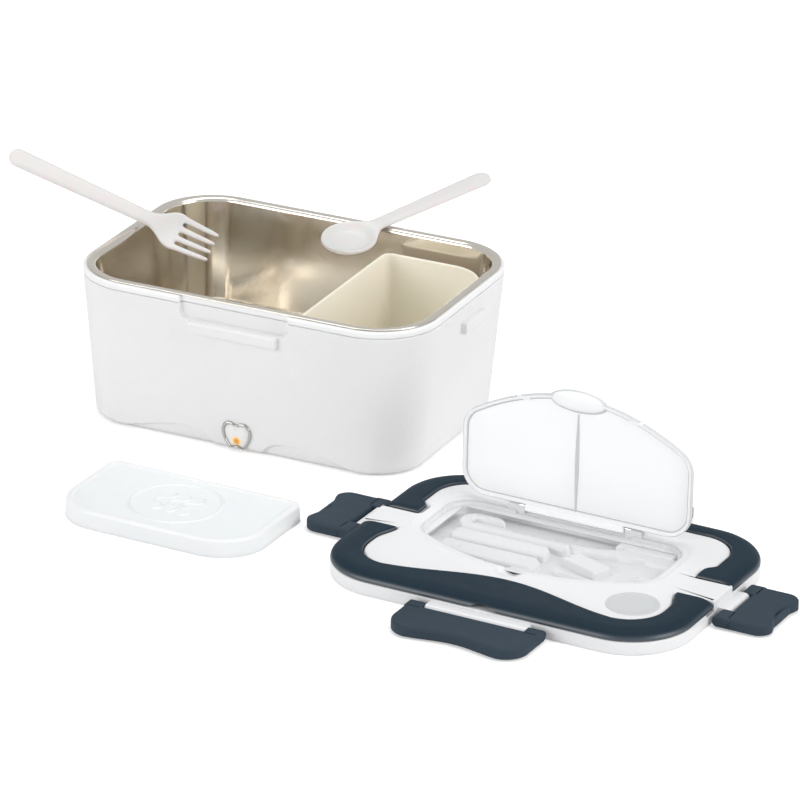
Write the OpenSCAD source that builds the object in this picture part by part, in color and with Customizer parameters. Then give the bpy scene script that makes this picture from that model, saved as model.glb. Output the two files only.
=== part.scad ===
// Electric lunch box, shown taken apart for serving: base with its steel tray and side container,
// fork and spoon on the rim, container lid in front, main lid beside it with its cutlery cover open.
// Origin: centre of the base on the table. X runs along the long side, Y to the back, Z up.

/* [Base shell] */
// Length of the shell at its top edge
top_l = 226; // [216:1:236]
// Width of the shell at its top edge
top_w = 159; // [150:1:168]
// Plan radius of the shell's corners at the top
top_r = 39; // [34:1:44]
// Draft of the shell's walls, inward on each side from top to bottom
draft = 7.5; // [4:0.5:9]
// Height of the shell's top edge above the table
shell_h = 88.6; // [80:0.2:100]
// Thickness of the shell's wall
shell_wall = 2.4; // [2:0.1:3]
// Height of the top collar above the shell's edge
collar_h = 4.2; // [3.4:0.1:6]
// Height of the rubber feet that show below the shell
foot_h = 1; // [0.8:0.1:3]

/* [Latch catches] */
// Length of the latch recess in the front and the back edge
recess_l = 70; // [60:1:80]
// Depth of the recess below the shell's top edge
recess_h = 9; // [6:0.5:12]
// Depth of the recess into the shell
recess_d = 3.4; // [2.5:0.1:3.6]
// Length of the catch ledge on the front and the back
ledge_l = 56; // [50:1:66]
// Length of the catch ledge on each end
side_ledge_l = 27; // [20:1:34]
// How far the catch ledges stand out
ledge_d = 4; // [3:0.2:5]
// Height of the catch ledges
ledge_h = 7; // [5:0.5:9]
// Offset of the end catches and end latches toward the back
side_offset = 5; // [0:1:10]

/* [Skirt arches] */
// Half width of the pedestal under the lamp, between the arches
arch_from = 16; // [14:1:22]
// Distance from the middle to an arch's outer end
arch_to = 80; // [60:1:84]
// Height of the arch's crest
arch_h = 9.5; // [6:0.5:12]
// Depth of the recessed arch
arch_d = 1.4; // [0.6:0.1:1.6]

/* [Steel tray] */
// Distance from the shell's edge in to the tray's flange
tray_inset = 2; // [1.5:0.1:4]
// Width of the flange
flange = 6; // [5:0.5:8]
// Sheet thickness of the tray
sheet = 0.8; // [0.6:0.1:1.2]
// Height of the tray's underside above the table
tray_z = 22.9; // [22.5:0.1:30]
// Draft of the tray's walls on each side
tray_draft = 5; // [3:0.5:8]

/* [Inner container] */
// Distance from the tray's front and back wall in to the container
cont_margin = 10.5; // [7:0.5:20]
// Width of the container along the tray
cont_w = 71; // [50:1:80]
// Depth of the container's rim below the tray's rim
cont_drop = 9.9; // [6:0.1:24]
// Plan radius of the container's two outer corners
cont_r = 26; // [18:1:30]
// Wall of the container
cont_wall = 1.8; // [1.4:0.1:2.4]
// Height of the container's lid
clid_h = 10.5; // [7:0.5:12]

/* [Main lid] */
// How far the lid's ends lie inside the shell's edge when it is shut on the tray's flange
lid_in_l = 4; // [2:0.5:6]
// How far the lid's front and back lie inside the shell's edge
lid_in_w = 1; // [1:0.1:3]
// Plan radius of the main lid's corners
lid_r = 38; // [34:1:42]
// Height of the lid's outer wall
lid_wall_h = 8; // [7:0.5:10]
// Height of the raised middle above the outer wall
lid_rise = 4.5; // [4:0.5:6]
// Thickness of the lid's walls
lid_t = 2.2; // [1.8:0.1:2.6]
// Width of the slate bands at the ends
band_w = 18; // [15:1:20]
// Width of the front band at its middle
band_mid = 33; // [26:1:38]
// How far the slate bands stand above the raised middle
band_proud = 1.5; // [0.5:0.1:3]
// How much wider the bands get at their ends
flare = 5; // [0:0.5:8]
// Half width of the white bridge between the front and the rear band
bridge = 12; // [10:1:16]

/* [Cutlery compartment] */
// Distance from the lid's ends in to the compartment, on average
comp_side = 38; // [34:1:44]
// Distance from the lid's front and back in to the compartment, on average
comp_front = 43; // [40:1:48]
// Thickness of the clear cover
cover_t = 1.6; // [1.2:0.1:2]
// Angle between the shut cover and the cover in the photo
cover_open = 90; // [80:1:100]
// Diameter of the cover's hinge pins
cover_pin_d = 2.4; // [2:0.1:3]

/* [Latches and handle] */
// Length of the front and the rear latch
latch_l = 82; // [74:1:90]
// Length of the end latches
side_latch_l = 49; // [42:1:54]
// Reach of the front and the rear latch from the hinge pin
latch_reach = 33; // [31:1:38]
// Reach of the end latches from the hinge pin
side_reach = 30; // [30:1:34]
// Height of the latch flaps
latch_h = 6; // [5.6:0.1:6.2]
// Diameter of the latch pins
latch_pin_d = 2.4; // [2:0.1:2.6]
// Diameter of the handle's pivot pins
handle_pin_d = 2.8; // [2.4:0.1:3]

/* [Vent plug] */
// Diameter of the vent plug
vent_d = 30; // [26:1:32]

/* [Cutlery] */
// Length of the fork and the spoon
cutlery_l = 132; // [120:1:138]
// Thickness of the cutlery
cutlery_t = 2; // [1.6:0.1:2.4]
// Width of the spoon's bowl
bowl_w = 30; // [26:1:32]
// Width of the fork's head
fork_w = 26; // [22:1:28]

/* [Indicator and inlet] */
// Width of the indicator's bezel
bezel_w = 19; // [16:1:22]
// Height of the indicator's bezel
bezel_h = 17; // [15:1:18]
// Height of the inlet's centre above the table
inlet_z = 12; // [11:0.5:13]

/* [Hidden] */
$fn = 48;

clear = 0.3;
fit = 0.1;
eps = 0.01;
hull_fn = 32;

// Base levels and outlines
shell_z0 = foot_h;
edge_round = 4;
bot_l = top_l - 2 * draft;
bot_w = top_w - 2 * draft;
bot_r = top_r - draft;
collar_z = shell_h + collar_h;
rim_z = collar_z + clear + sheet;
slope = atan(draft / (shell_h - edge_round));
housing_t = 1.6;
skirt_t = 1;

// Tray
tray_l = top_l - 2 * tray_inset;
tray_w = top_w - 2 * tray_inset;
tray_r = top_r - tray_inset;
wall_l = tray_l - 2 * flange;
wall_w = tray_w - 2 * flange;
wall_r = tray_r - flange;
tray_floor = tray_z + sheet;

// Inner housing, which follows the tray at a gap
house_gap = 0.8;
house_z = tray_z - 2.6;
plate_top = tray_z - clear;

// Bottom
cover_z = shell_z0 + 0.4;
cover_thick = 2.2;
screw_x = bot_l / 2 - 20;
screw_y = bot_w / 2 - 20;
foot_x = screw_x - 16;
foot_r = 7;
screw_r = 1.5;

// Heater
plate_l = wall_l - 2 * tray_draft - 50;
plate_w = wall_w - 2 * tray_draft - 43;
plate_r = 18;
plate_lip = 5;
plate_t = 1.6;
plate_low = house_z - plate_t;
element = [60, 21, 6];
clamp_x = 38;
clamp_t = 1.2;
fuse = [plate_l / 2 - 23, -plate_w / 2 + 23];
fuse_lead = 12;

// Container place in the tray
cont_draft = 3;
cont_side = 1.2;
cont_x = wall_l / 2 - tray_draft - sheet - cont_side - (cont_w / 2 - cont_draft);
cont_z = tray_floor + clear;
cont_l = wall_w - 2 * cont_margin;
cont_h = rim_z - cont_drop - cont_z;

// Container lid and main lid, where they lie on the table
lid_l = top_l - 2 * lid_in_l;
lid_w = top_w - 2 * lid_in_w;
clid_pos = [13.5, -top_w / 2 - 95, 0];
clid_yaw = -2.2;
lid_pos = [top_l / 2 + lid_l / 2 + 6, -top_w / 2 - 63, 0];
lid_yaw = -2.4;

// Lid levels, measured from the table
lid_top = lid_wall_h + lid_rise;
band_top = lid_top + band_proud;
under_z = 1.2;
under_t = 1.4;
insert_z = under_z + under_t;
insert_t = 1.2;
seal_w = 5;
rebate = 2.6;
lip_w = 4.4;
lip_d = 0.8;
rest_z = lid_top - lip_d - cover_t;
comp_l = lid_l - 2 * comp_side;
comp_w = lid_w - 2 * comp_front;
comp_x = -6;
comp_y = 11;
comp_back = comp_y + comp_w / 2;
hinge_y = comp_back + 3;
hinge_z = lid_top + 0.6;
knuckle_r = 2.4;
slot_z = hinge_z - knuckle_r - 1.8;
hinge_half = 31;
hinge_block = 5;

// Latches
pin_out = 5;
pin_z = latch_h / 2 + 1.2;
lug_r = 2.9;
ear_r = 3;
front_lug = latch_l - 20;
side_lug = side_latch_l - 24;
band_z = lid_wall_h + clear;
band_x = lid_l / 2 - band_w;
vent_pos = [band_x - 19, -lid_w / 2 + 40.5];
well_t = 2.4;
handle_z = lid_top - 2.3;
end_r = band_top - handle_z;
end_low = handle_z - band_z;
handle_y = -bridge - end_r - 0.5;
end_x = band_w - 6.5;
pin_l = end_x + 2.5;

// Indicator and inlet
bezel_z = bezel_h / 2 + 1.2;
board = [22, 1.2, 12];
board_in = 9;
lamp_r = 1.5;
inlet = [24, 16, 12];
inlet_flange = [28, 1.2, 15];
inlet_pitch = 7.6;
pin_r = 1.2;
wire_r = 0.9;

// Cutlery on the rim: contact point, heading, slope and roll
fork_at = [-tray_l / 2 + flange, 12, rim_z];
fork_yaw = 16;
fork_pitch = 22;
fork_roll = 40;
spoon_at = [21, tray_w / 2 - flange, rim_z];
spoon_yaw = -111;
spoon_pitch = 5;
spoon_roll = -13;
inside_l = 43;
neck_w = 8.4;

// Half width of the shell at a height, measured along Y
function shell_y(z) = top_w / 2 - draft * (shell_h - z) / (shell_h - edge_round);
function shell_x(z) = top_l / 2 - draft * (shell_h - z) / (shell_h - edge_round);

// Rounded rectangle from squares and circles
module rrect(l, w, r) {
    square([l - 2 * r, w], center = true);
    square([l, w - 2 * r], center = true);
    for (sx = [-1, 1], sy = [-1, 1])
        translate([sx * (l / 2 - r), sy * (w / 2 - r)]) circle(r);
}

module slab(l, w, r, z0, z1) {
    translate([0, 0, z0]) linear_extrude(z1 - z0) rrect(l, w, r);
}

// Tapered rounded block between two outlines
module taper(l0, w0, r0, z0, l1, w1, r1, z1) {
    hull() {
        slab(l0, w0, r0, z0, z0 + eps, $fn = hull_fn);
        slab(l1, w1, r1, z1 - eps, z1, $fn = hull_fn);
    }
}

// Solid body of the shell, inset by d
module shell_body(d, z0) {
    hull() {
        slab(bot_l - 5 - 2 * d, bot_w - 3 - 2 * d, bot_r - d, z0, z0 + eps, $fn = hull_fn);
        slab(bot_l - 2 * d, bot_w - 2 * d, bot_r - d, edge_round, edge_round + eps, $fn = hull_fn);
        slab(top_l - 2 * d, top_w - 2 * d, top_r - d, shell_h - eps, shell_h, $fn = hull_fn);
    }
}

// Outline of one skirt arch: a steep rise at the pedestal, then a long fall
function arch_y(t) = arch_h * sin(180 * pow(t, 0.55));
module arch_outline() {
    n = 24;
    polygon([for (i = [0:n]) [arch_from + (arch_to - arch_from) * i / n, arch_y(i / n)],
        [arch_to, -5], [arch_from, -5]]);
}

// Prism on the front (s = -1) or the back (s = 1) of the shell, from y0 outward by d
module on_side(s, y0, d) {
    translate([0, s * y0, 0]) rotate([90, 0, 0])
        translate([0, 0, s > 0 ? -d : 0]) linear_extrude(d) children();
}

// Catch ledge of length l, whose middle lies at the wall
module ledge(l) {
    h = ledge_h;
    rotate([90, 0, 90]) translate([0, 0, -l / 2]) linear_extrude(l)
        polygon([[shell_wall, 0], [-ledge_d + 1, 0], [-ledge_d, 1.5], [-ledge_d, h - 2.5],
            [-ledge_d + 1.5, h], [shell_wall, h]]);
}

module recess_outline(grow) {
    w = recess_l / 2 + grow;
    r = 6;
    z = shell_h - recess_h - grow;
    translate([-w, z + r]) square([2 * w, recess_h + collar_h]);
    translate([-w + r, z]) square([2 * (w - r), r + 1]);
    for (s = [-1, 1]) translate([s * (w - r), z + r]) circle(r);
}

module place_front(z) {
    translate([0, -shell_y(z), z]) rotate([90 + slope, 0, 0]) children();
}

// Shield outline with a notch above and below
module bezel_outline(grow, notch) {
    w = bezel_w / 2 + grow;
    h = bezel_h / 2 + grow;
    r = 0.62 * w;
    difference() {
        hull() {
            for (s = [-1, 1]) translate([s * (w - r), h - r]) circle(r, $fn = hull_fn);
            for (s = [-1, 1]) translate([s * 0.24 * w, -h + 3]) circle(3, $fn = hull_fn);
        }
        translate([0, h + 1.6]) circle(notch);
        translate([0, -h - 1.2]) circle(notch - 0.4);
    }
}

module outer_shell() {
    ledge_z = shell_h - recess_h - ledge_h - 0.5;
    color("white") difference() {
        union() {
            difference() {
                shell_body(0, shell_z0);
                shell_body(shell_wall, shell_z0 - 1);
            }
            // pocket walls behind the latch recesses
            intersection() {
                shell_body(0, shell_z0);
                for (s = [-1, 1])
                    on_side(s, top_w / 2 - recess_d - 1.4, 6) recess_outline(1.4);
            }
            // catch ledges on the four sides
            for (a = [0, 180]) rotate([0, 0, a])
                translate([0, -shell_y(ledge_z + ledge_h / 2), ledge_z]) ledge(ledge_l);
            for (a = [90, 270]) rotate([0, 0, a])
                translate([(a == 90 ? 1 : -1) * side_offset,
                    -shell_x(ledge_z + ledge_h / 2), ledge_z]) ledge(side_ledge_l);
            for (a = [0, 180]) rotate([0, 0, a]) {
                translate([screw_x, screw_y, 0]) boss(45);
                translate([-screw_x, screw_y, 0]) boss(135);
            }
            // posts of the lamp board
            for (s = [-1, 1]) translate([s * 9, -shell_y(bezel_z) + 1, bezel_z])
                rotate([-90, 0, 0]) cylinder(r = 1.6, h = 8);
        }
        for (s = [-1, 1]) on_side(s, top_w / 2 - recess_d, 8) recess_outline(0);
        // skirt arches, cut by arch_d into the front and the back
        difference() {
            for (sx = [-1, 1], sy = [-1, 1])
                on_side(sy, bot_w / 2 - 8, 14) scale([sx, 1]) arch_outline();
            shell_body(arch_d, shell_z0 - 1);
        }
        place_front(bezel_z) translate([0, 0, -6]) linear_extrude(10) bezel_outline(-1, 3);
        place_inlet() cube([inlet.x + 2 * fit, 30, inlet.z + 2 * fit], center = true);
    }
}

// Screw boss with its pilot hole, and a rib at angle a that joins it to the shell's corner
module boss(a) {
    z = cover_z + cover_thick + clear;
    h = house_z - z - 1;
    boss_r = 3.4;
    corner = [bot_l / 2 - bot_r, bot_w / 2 - bot_r];
    reach = bot_r - 0.5 - norm([screw_x, screw_y] - corner);
    translate([0, 0, z]) difference() {
        union() {
            cylinder(r = boss_r, h = h);
            rotate([0, 0, a]) translate([0, -1, 2.5]) cube([reach, 2, h - 2.5]);
        }
        translate([0, 0, -1]) cylinder(r = screw_r + fit, h = 10);
    }
}

module top_collar() {
    z0 = shell_h + 0.2;
    z1 = shell_h + housing_t;
    color("white") difference() {
        slab(top_l, top_w, top_r, z0, collar_z);
        slab(top_l - 2 * skirt_t, top_w - 2 * skirt_t, top_r - skirt_t, z0 - 1, z1 + eps);
        slab(wall_l + 2 * house_gap, wall_w + 2 * house_gap, wall_r + house_gap, z0, rim_z);
        for (s = [-1, 1]) on_side(s, top_w / 2 - recess_d, 8) recess_outline(0);
    }
}

// Basin that carries the tray, with its flange on the shell's edge
module inner_housing() {
    g = house_gap;
    t = house_gap + housing_t;
    d = tray_draft;
    fl = skirt_t + fit;
    color("gainsboro") difference() {
        union() {
            difference() {
                slab(top_l - 2 * fl, top_w - 2 * fl, top_r - fl, shell_h, shell_h + housing_t);
                for (s = [-1, 1]) on_side(s, top_w / 2 - recess_d - 1.4, 8) recess_outline(1.4);
            }
            taper(wall_l - 2 * d + 2 * t, wall_w - 2 * d + 2 * t, wall_r - d + t, house_z,
                wall_l + 2 * t, wall_w + 2 * t, wall_r + t, shell_h + eps);
        }
        taper(wall_l - 2 * d + 2 * g, wall_w - 2 * d + 2 * g, wall_r - d + g, house_z + housing_t,
            wall_l + 2 * g, wall_w + 2 * g, wall_r + g, shell_h + housing_t + 1);
        slab(plate_l + 2 * fit, plate_w + 2 * fit, plate_r + fit, house_z - 1, tray_z);
    }
}

module bottom_cover() {
    g = shell_wall + clear + 2.5;
    color("white") difference() {
        slab(bot_l - 2 * g, bot_w - 2 * g, bot_r - g, cover_z, cover_z + cover_thick);
        for (sx = [-1, 1], sy = [-1, 1]) {
            translate([sx * screw_x, sy * screw_y, cover_z - 1]) cylinder(r = screw_r + fit, h = 9);
            translate([sx * screw_x, sy * screw_y, cover_z - 1]) cylinder(r = 3 + fit, h = 2);
            translate([sx * foot_x, sy * screw_y, cover_z - 1]) cylinder(r = foot_r + fit, h = 1.6);
        }
        // vent slots, three on each side of the middle
        for (s = [-1, 1], i = [1:3]) translate([s * 12 * i, 0, cover_z])
            cube([3, 40, 9], center = true);
    }
}

module rubber_feet() {
    color("dimgray") for (sx = [-1, 1], sy = [-1, 1]) translate([sx * foot_x, sy * screw_y, 0])
        cylinder(r = foot_r, h = cover_z + 0.6);
}

module cover_screws() {
    color("silver") for (sx = [-1, 1], sy = [-1, 1])
        translate([sx * screw_x, sy * screw_y, cover_z]) difference() {
            union() {
                cylinder(r = 3, h = 1);
                cylinder(r = screw_r, h = 9);
            }
            for (a = [0, 90]) rotate([0, 0, a]) cube([3.6, 0.8, 1.2], center = true);
        }
}

// Aluminium plate under the tray: its pad fills the housing's opening
module heater_plate() {
    color("silver") {
        slab(plate_l, plate_w, plate_r, plate_low, plate_top);
        slab(plate_l + 2 * plate_lip, plate_w + 2 * plate_lip, plate_r + plate_lip,
            plate_low, house_z - eps);
        difference() {
            for (s = [-1, 1]) translate([s * clamp_x, 0, plate_low - element.z])
                cylinder(r = 3, h = element.z + 1);
            for (s = [-1, 1]) translate([s * clamp_x, 0, plate_low - element.z - 1])
                cylinder(r = screw_r + fit, h = element.z);
        }
    }
}

module heating_element() {
    color("lightgray") translate([0, 0, plate_low - element.z / 2])
        cube(element, center = true);
}

module element_clamp() {
    z = plate_low - element.z - clamp_t;
    color("silver") difference() {
        translate([-clamp_x - 5, -6, z]) cube([2 * clamp_x + 10, 12, clamp_t]);
        for (s = [-1, 1]) translate([s * clamp_x, 0, z - 1])
            cylinder(r = screw_r + fit, h = clamp_t + 2);
    }
}

module clamp_screws() {
    z = plate_low - element.z - clamp_t;
    color("silver") for (s = [-1, 1]) translate([s * clamp_x, 0, z]) {
        translate([0, 0, -1.4]) cylinder(r = 2.8, h = 1.4);
        cylinder(r = screw_r, h = clamp_t + 4);
    }
}

module thermostat() {
    color("tan") translate([-52, 22, plate_low]) {
        translate([0, 0, -3]) cylinder(r = 8.5, h = 3);
        translate([0, 0, -6.6]) cylinder(r = 7, h = 3.7);
        for (s = [-1, 1]) translate([s * 4 - 1.5, -11, -4.4]) cube([3, 22, 0.8]);
    }
}

module thermal_fuse() {
    color("ivory") translate([fuse.x, fuse.y, plate_low - 2]) rotate([0, 90, 0]) {
        cylinder(r = 2, h = 14, center = true);
        cylinder(r = 0.5, h = 2 * fuse_lead, center = true);
    }
}

module heat_shield() {
    z = cover_z + cover_thick;
    color("silver") slab(2 * screw_x - 12, 2 * screw_y - 12, 8, z, z + 0.6);
}

// Frame of the inlet: its origin on the back wall, +Y out of the wall
module place_inlet() {
    translate([0, shell_y(inlet_z), inlet_z]) rotate([-slope, 0, 0]) children();
}

// Mains socket on the back, for a two-pin plug
module inlet_housing() {
    well_r = 4.1;
    well_d = 9;
    color("black") place_inlet() difference() {
        union() {
            translate([-inlet.x / 2, -inlet.y, -inlet.z / 2]) cube([inlet.x, inlet.y + 0.5, inlet.z]);
            translate([-inlet_flange.x / 2, fit, -inlet_flange.z / 2]) cube(inlet_flange);
        }
        for (s = [-1, 1]) translate([s * inlet_pitch / 2, -well_d, 0]) rotate([-90, 0, 0])
            cylinder(r = well_r, h = 20);
        translate([-inlet_pitch / 2, -well_d, -well_r]) cube([inlet_pitch, 20, 2 * well_r]);
        for (s = [-1, 1]) translate([s * inlet_pitch / 2, -inlet.y - 1, 0]) rotate([-90, 0, 0])
            cylinder(r = pin_r + fit, h = inlet.y);
    }
}

module inlet_pins() {
    color("silver") place_inlet() for (s = [-1, 1]) translate([s * inlet_pitch / 2, -inlet.y - 4, 0])
        rotate([-90, 0, 0]) cylinder(r = pin_r, h = inlet.y + 3);
}

// Insulated wire along a list of points; each run passes its bends a little
module wire(pts) {
    over = wire_r / 2;
    last = len(pts) - 2;
    for (i = [0:last]) {
        v = pts[i + 1] - pts[i];
        from = i == 0 ? 0 : over;
        past = i == last ? 0 : over;
        translate(pts[i]) rotate([0, acos(v.z / norm(v)), atan2(v.y, v.x)])
            translate([0, 0, -from]) cylinder(r = wire_r, h = norm(v) + from + past, $fn = 8);
    }
}

module wiring() {
    back = shell_y(inlet_z) - (inlet.y + 4) * cos(slope) - fit;
    pin_h = inlet_z + (inlet.y + 4) * sin(slope);
    tab = plate_low - 4.8;
    px = inlet_pitch / 2;
    lamp_y = -shell_y(bezel_z) + board_in + board.y;
    lead = fuse.x + fuse_lead + wire_r;
    fuse_z = plate_low - 2;
    end_run = 3;
    end_z = plate_low - 3;
    color("firebrick") {
        wire([[-px, back, pin_h], [-px, back - 4, pin_h], [-48, 38, 9], [-48, 33.2, tab]]);
        wire([[-48, 10.8, tab], [-48, 9, 10], [-element.x / 2 - end_run, 9, end_z],
            [-element.x / 2, 9, end_z]]);
        wire([[px, back, pin_h], [px, back - 4, pin_h], [lead, 30, 9], [lead, fuse.y, fuse_z]]);
        wire([[2 * fuse.x - lead, fuse.y, fuse_z], [element.x / 2 + end_run, -4, end_z],
            [element.x / 2, -4, end_z]]);
        wire([[6, lamp_y, bezel_z], [6, lamp_y + 4, bezel_z], [36, -34, 9],
            [2 * fuse.x - lead, fuse.y - 2, fuse_z]]);
    }
}

module indicator_bezel() {
    color("silver") place_front(bezel_z) translate([0, 0, fit]) linear_extrude(1.3) difference() {
        bezel_outline(0, 3);
        bezel_outline(-1.6, 2.6);
    }
}

module indicator_lens() {
    color("whitesmoke") place_front(bezel_z) translate([0, 0, -2.2]) linear_extrude(3)
        bezel_outline(-1.6 - fit, 2.6);
}

module lamp_board() {
    color("seagreen") translate([-board.x / 2, -shell_y(bezel_z) + board_in, bezel_z - board.z / 2])
        cube(board);
}

module indicator_lamp() {
    color("orange") translate([0, -shell_y(bezel_z) + board_in, bezel_z - 2.4]) rotate([90, 0, 0]) {
        cylinder(r = lamp_r, h = 5);
        translate([0, 0, 5]) sphere(lamp_r);
    }
}

// Pressed steel tray with a flat flange
module steel_tray() {
    d = tray_draft;
    color("silver") difference() {
        union() {
            slab(tray_l, tray_w, tray_r, rim_z - sheet, rim_z);
            taper(wall_l - 2 * d, wall_w - 2 * d, wall_r - d, tray_z,
                wall_l, wall_w, wall_r, rim_z);
        }
        taper(wall_l - 2 * d - 2 * sheet, wall_w - 2 * d - 2 * sheet, wall_r - d - sheet,
            tray_floor, wall_l - 2 * sheet, wall_w - 2 * sheet, wall_r - sheet, rim_z + 0.5);
    }
}

// D-shaped outline, straight toward the middle of the tray and round at its end
module d_outline(l, w, r, d) {
    hull() {
        for (s = [-1, 1]) {
            translate([w / 2 - r, s * (l / 2 - r)]) circle(r - d, $fn = 48);
            translate([-w / 2 + 6, s * (l / 2 - 6)]) circle(6 - d, $fn = 24);
        }
    }
}

module container_body(d, z0, z1) {
    hull() {
        translate([0, 0, z0]) linear_extrude(eps) d_outline(cont_l, cont_w, cont_r, d + cont_draft);
        translate([0, 0, z1 - eps]) linear_extrude(eps) d_outline(cont_l, cont_w, cont_r, d);
    }
}

module inner_container() {
    color("antiquewhite") translate([cont_x, 0, 0]) difference() {
        container_body(0, cont_z, cont_z + cont_h);
        difference() {
            container_body(cont_wall, cont_z, cont_z + cont_h + eps);
            translate([-cont_w, -cont_l, cont_z - 1]) cube([2 * cont_w, 2 * cont_l, cont_wall + 1]);
        }
    }
}

// Snap-on lid of the container, with a generic ring and three waves of steam on it
module container_lid() {
    t = 1.6;
    over = t + clear;
    rim = 4.6;
    color("whitesmoke") translate(clid_pos) rotate([0, 0, clid_yaw - 90]) {
        difference() {
            linear_extrude(clid_h) d_outline(cont_l, cont_w, cont_r, -over);
            translate([0, 0, -1]) linear_extrude(clid_h - t + 0.2)
                d_outline(cont_l, cont_w, cont_r, -clear);
            translate([0, 0, clid_h - 0.8]) linear_extrude(1)
                d_outline(cont_l, cont_w, cont_r, rim - over);
        }
        translate([0, 0, clid_h - 1]) {
            difference() {
                cylinder(r = 27, h = 0.6);
                translate([0, 0, -1]) cylinder(r = 25.8, h = 3);
            }
            for (y = [-9, 0, 9]) translate([0, y, 0]) steam_wave();
        }
    }
}

// One wave: three arcs in a row
module steam_wave() {
    r = 4.2;
    for (i = [-1:1]) translate([i * 2 * r, 0, 0])
        rotate([0, 0, i == 0 ? 180 : 0]) rotate_extrude(angle = 180)
            translate([r - 0.5, 0]) square([1, 0.6]);
}

// Cutlery lies with its tip toward +X of its own frame and its contact point at the origin
module place_cutlery(at, yaw, pitch, roll, lift) {
    translate(at) rotate([0, 0, yaw]) rotate([0, pitch, 0]) translate([0, 0, lift])
        rotate([roll, 0, 0]) children();
}

module handle_outline() {
    end_w = 11.2;
    back = cutlery_l - inside_l;
    hull() {
        translate([-back + end_w / 2, 0]) circle(end_w / 2, $fn = hull_fn);
        circle(neck_w / 2, $fn = hull_fn);
    }
    hull() {
        circle(neck_w / 2, $fn = hull_fn);
        translate([5, 0]) circle(neck_w / 2 + 0.6, $fn = hull_fn);
    }
}

module fork() {
    tine_l = 24;
    slot = 2.4;
    color("whitesmoke") place_cutlery(fork_at, fork_yaw, fork_pitch, fork_roll,
        clear + neck_w / 2 * sin(fork_roll)) difference() {
        linear_extrude(cutlery_t) {
            handle_outline();
            hull() {
                translate([4, 0]) circle(neck_w / 2, $fn = hull_fn);
                for (s = [-1, 1]) translate([inside_l - tine_l - 4, s * (fork_w / 2 - 6)])
                    circle(6, $fn = hull_fn);
            }
            for (s = [-1.5:1.5]) hull() {
                translate([inside_l - tine_l - 4, s * 6.4]) circle(2.6, $fn = hull_fn);
                translate([inside_l - 1.2, s * 5.8]) circle(1.2, $fn = hull_fn);
            }
        }
        for (s = [-1:1]) translate([inside_l - tine_l + slot / 2, s * 6.3, -1]) {
            cylinder(r = slot / 2, h = 9);
            translate([0, -slot / 2, 0]) cube([tine_l, slot, 9]);
        }
    }
}

module spoon() {
    sag = 4;
    bowl_l = 36;
    big = 60;
    color("whitesmoke") place_cutlery(spoon_at, spoon_yaw, spoon_pitch, spoon_roll,
        clear - neck_w / 2 * sin(spoon_roll)) {
        linear_extrude(cutlery_t) handle_outline();
        translate([inside_l - bowl_l / 2, 0, cutlery_t]) difference() {
            scale_bowl(bowl_l / 2, bowl_w / 2, sag + cutlery_t);
            scale_bowl(bowl_l / 2 - cutlery_t, bowl_w / 2 - cutlery_t, sag);
            translate([-big / 2, -big / 2, 0]) cube(big);
        }
        linear_extrude(cutlery_t) difference() {
            hull() {
                translate([3, 0]) circle(neck_w / 2, $fn = hull_fn);
                translate([inside_l - bowl_l / 2, 0]) circle(bowl_w / 2 - 1, $fn = hull_fn);
            }
            translate([inside_l - bowl_l / 2, 0]) resize([bowl_l - 2, bowl_w - 2]) circle(10);
        }
    }
}

module scale_bowl(a, b, c) {
    resize([2 * a, 2 * b, 2 * c]) sphere(10, $fn = 28);
}

// Main lid frame: lies on the table beside the base
module at_lid() {
    translate(lid_pos) rotate([0, 0, lid_yaw]) children();
}

// Front edge of the raised middle: a wave that is high at the middle
function wave_y(x) = -(lid_w / 2 - band_w - (band_mid - band_w) / 2
    + (band_w - band_mid) / 2 * cos(180 * min(1, abs(x) / (band_x - 15))));

// How far the raised middle draws in beside the ends of the bands
function draw_in(y) = let (t = min(1, max(0, (abs(y) - bridge) / 20)))
    flare * (1 + cos(180 * t)) / 2;

// Plan of the raised middle, inside the bands; grow moves its outline outward
module middle_outline(grow) {
    hx = band_x + grow;
    yf = wave_y(band_x) - grow;
    yb = lid_w / 2 - band_w + 4 + grow;
    r = 22;
    xr = hx - r;
    half = [
        for (x = [0:4:xr]) [x, wave_y(x) - grow],
        for (a = [-90:6:0]) [xr + r * cos(a), yf + r + r * sin(a)],
        for (y = [yf + r + 2:2:yb - r - 2]) [hx - draw_in(y), y],
        for (a = [0:6:90]) [xr + r * cos(a), yb - r + r * sin(a)],
        [0, yb]];
    for (s = [0, 1]) mirror([s, 0]) polygon(half);
}

// White bridges between the bands, out to the lid's edge
module bridge_outline(grow) {
    square([lid_l, 2 * (bridge + grow)], center = true);
}

// Everything that the two bands cover
module band_outline() {
    difference() {
        rrect(lid_l, lid_w, lid_r);
        middle_outline(clear + 0.2);
        bridge_outline(clear + 0.2);
    }
}

// Compartment plan, inset by d: straight at the hinge side, bowed at the front
module comp_outline(d) {
    r = 16;
    sag = 15;
    hl = comp_l / 2 - r;
    hull() for (s = [-1, 1]) {
        translate([s * hl, comp_w / 2 - r]) circle(r - d, $fn = hull_fn);
        for (t = [0:0.25:1])
            translate([s * hl * t, -comp_w / 2 + r + sag * t * t]) circle(r - d, $fn = hull_fn);
    }
}

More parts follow.
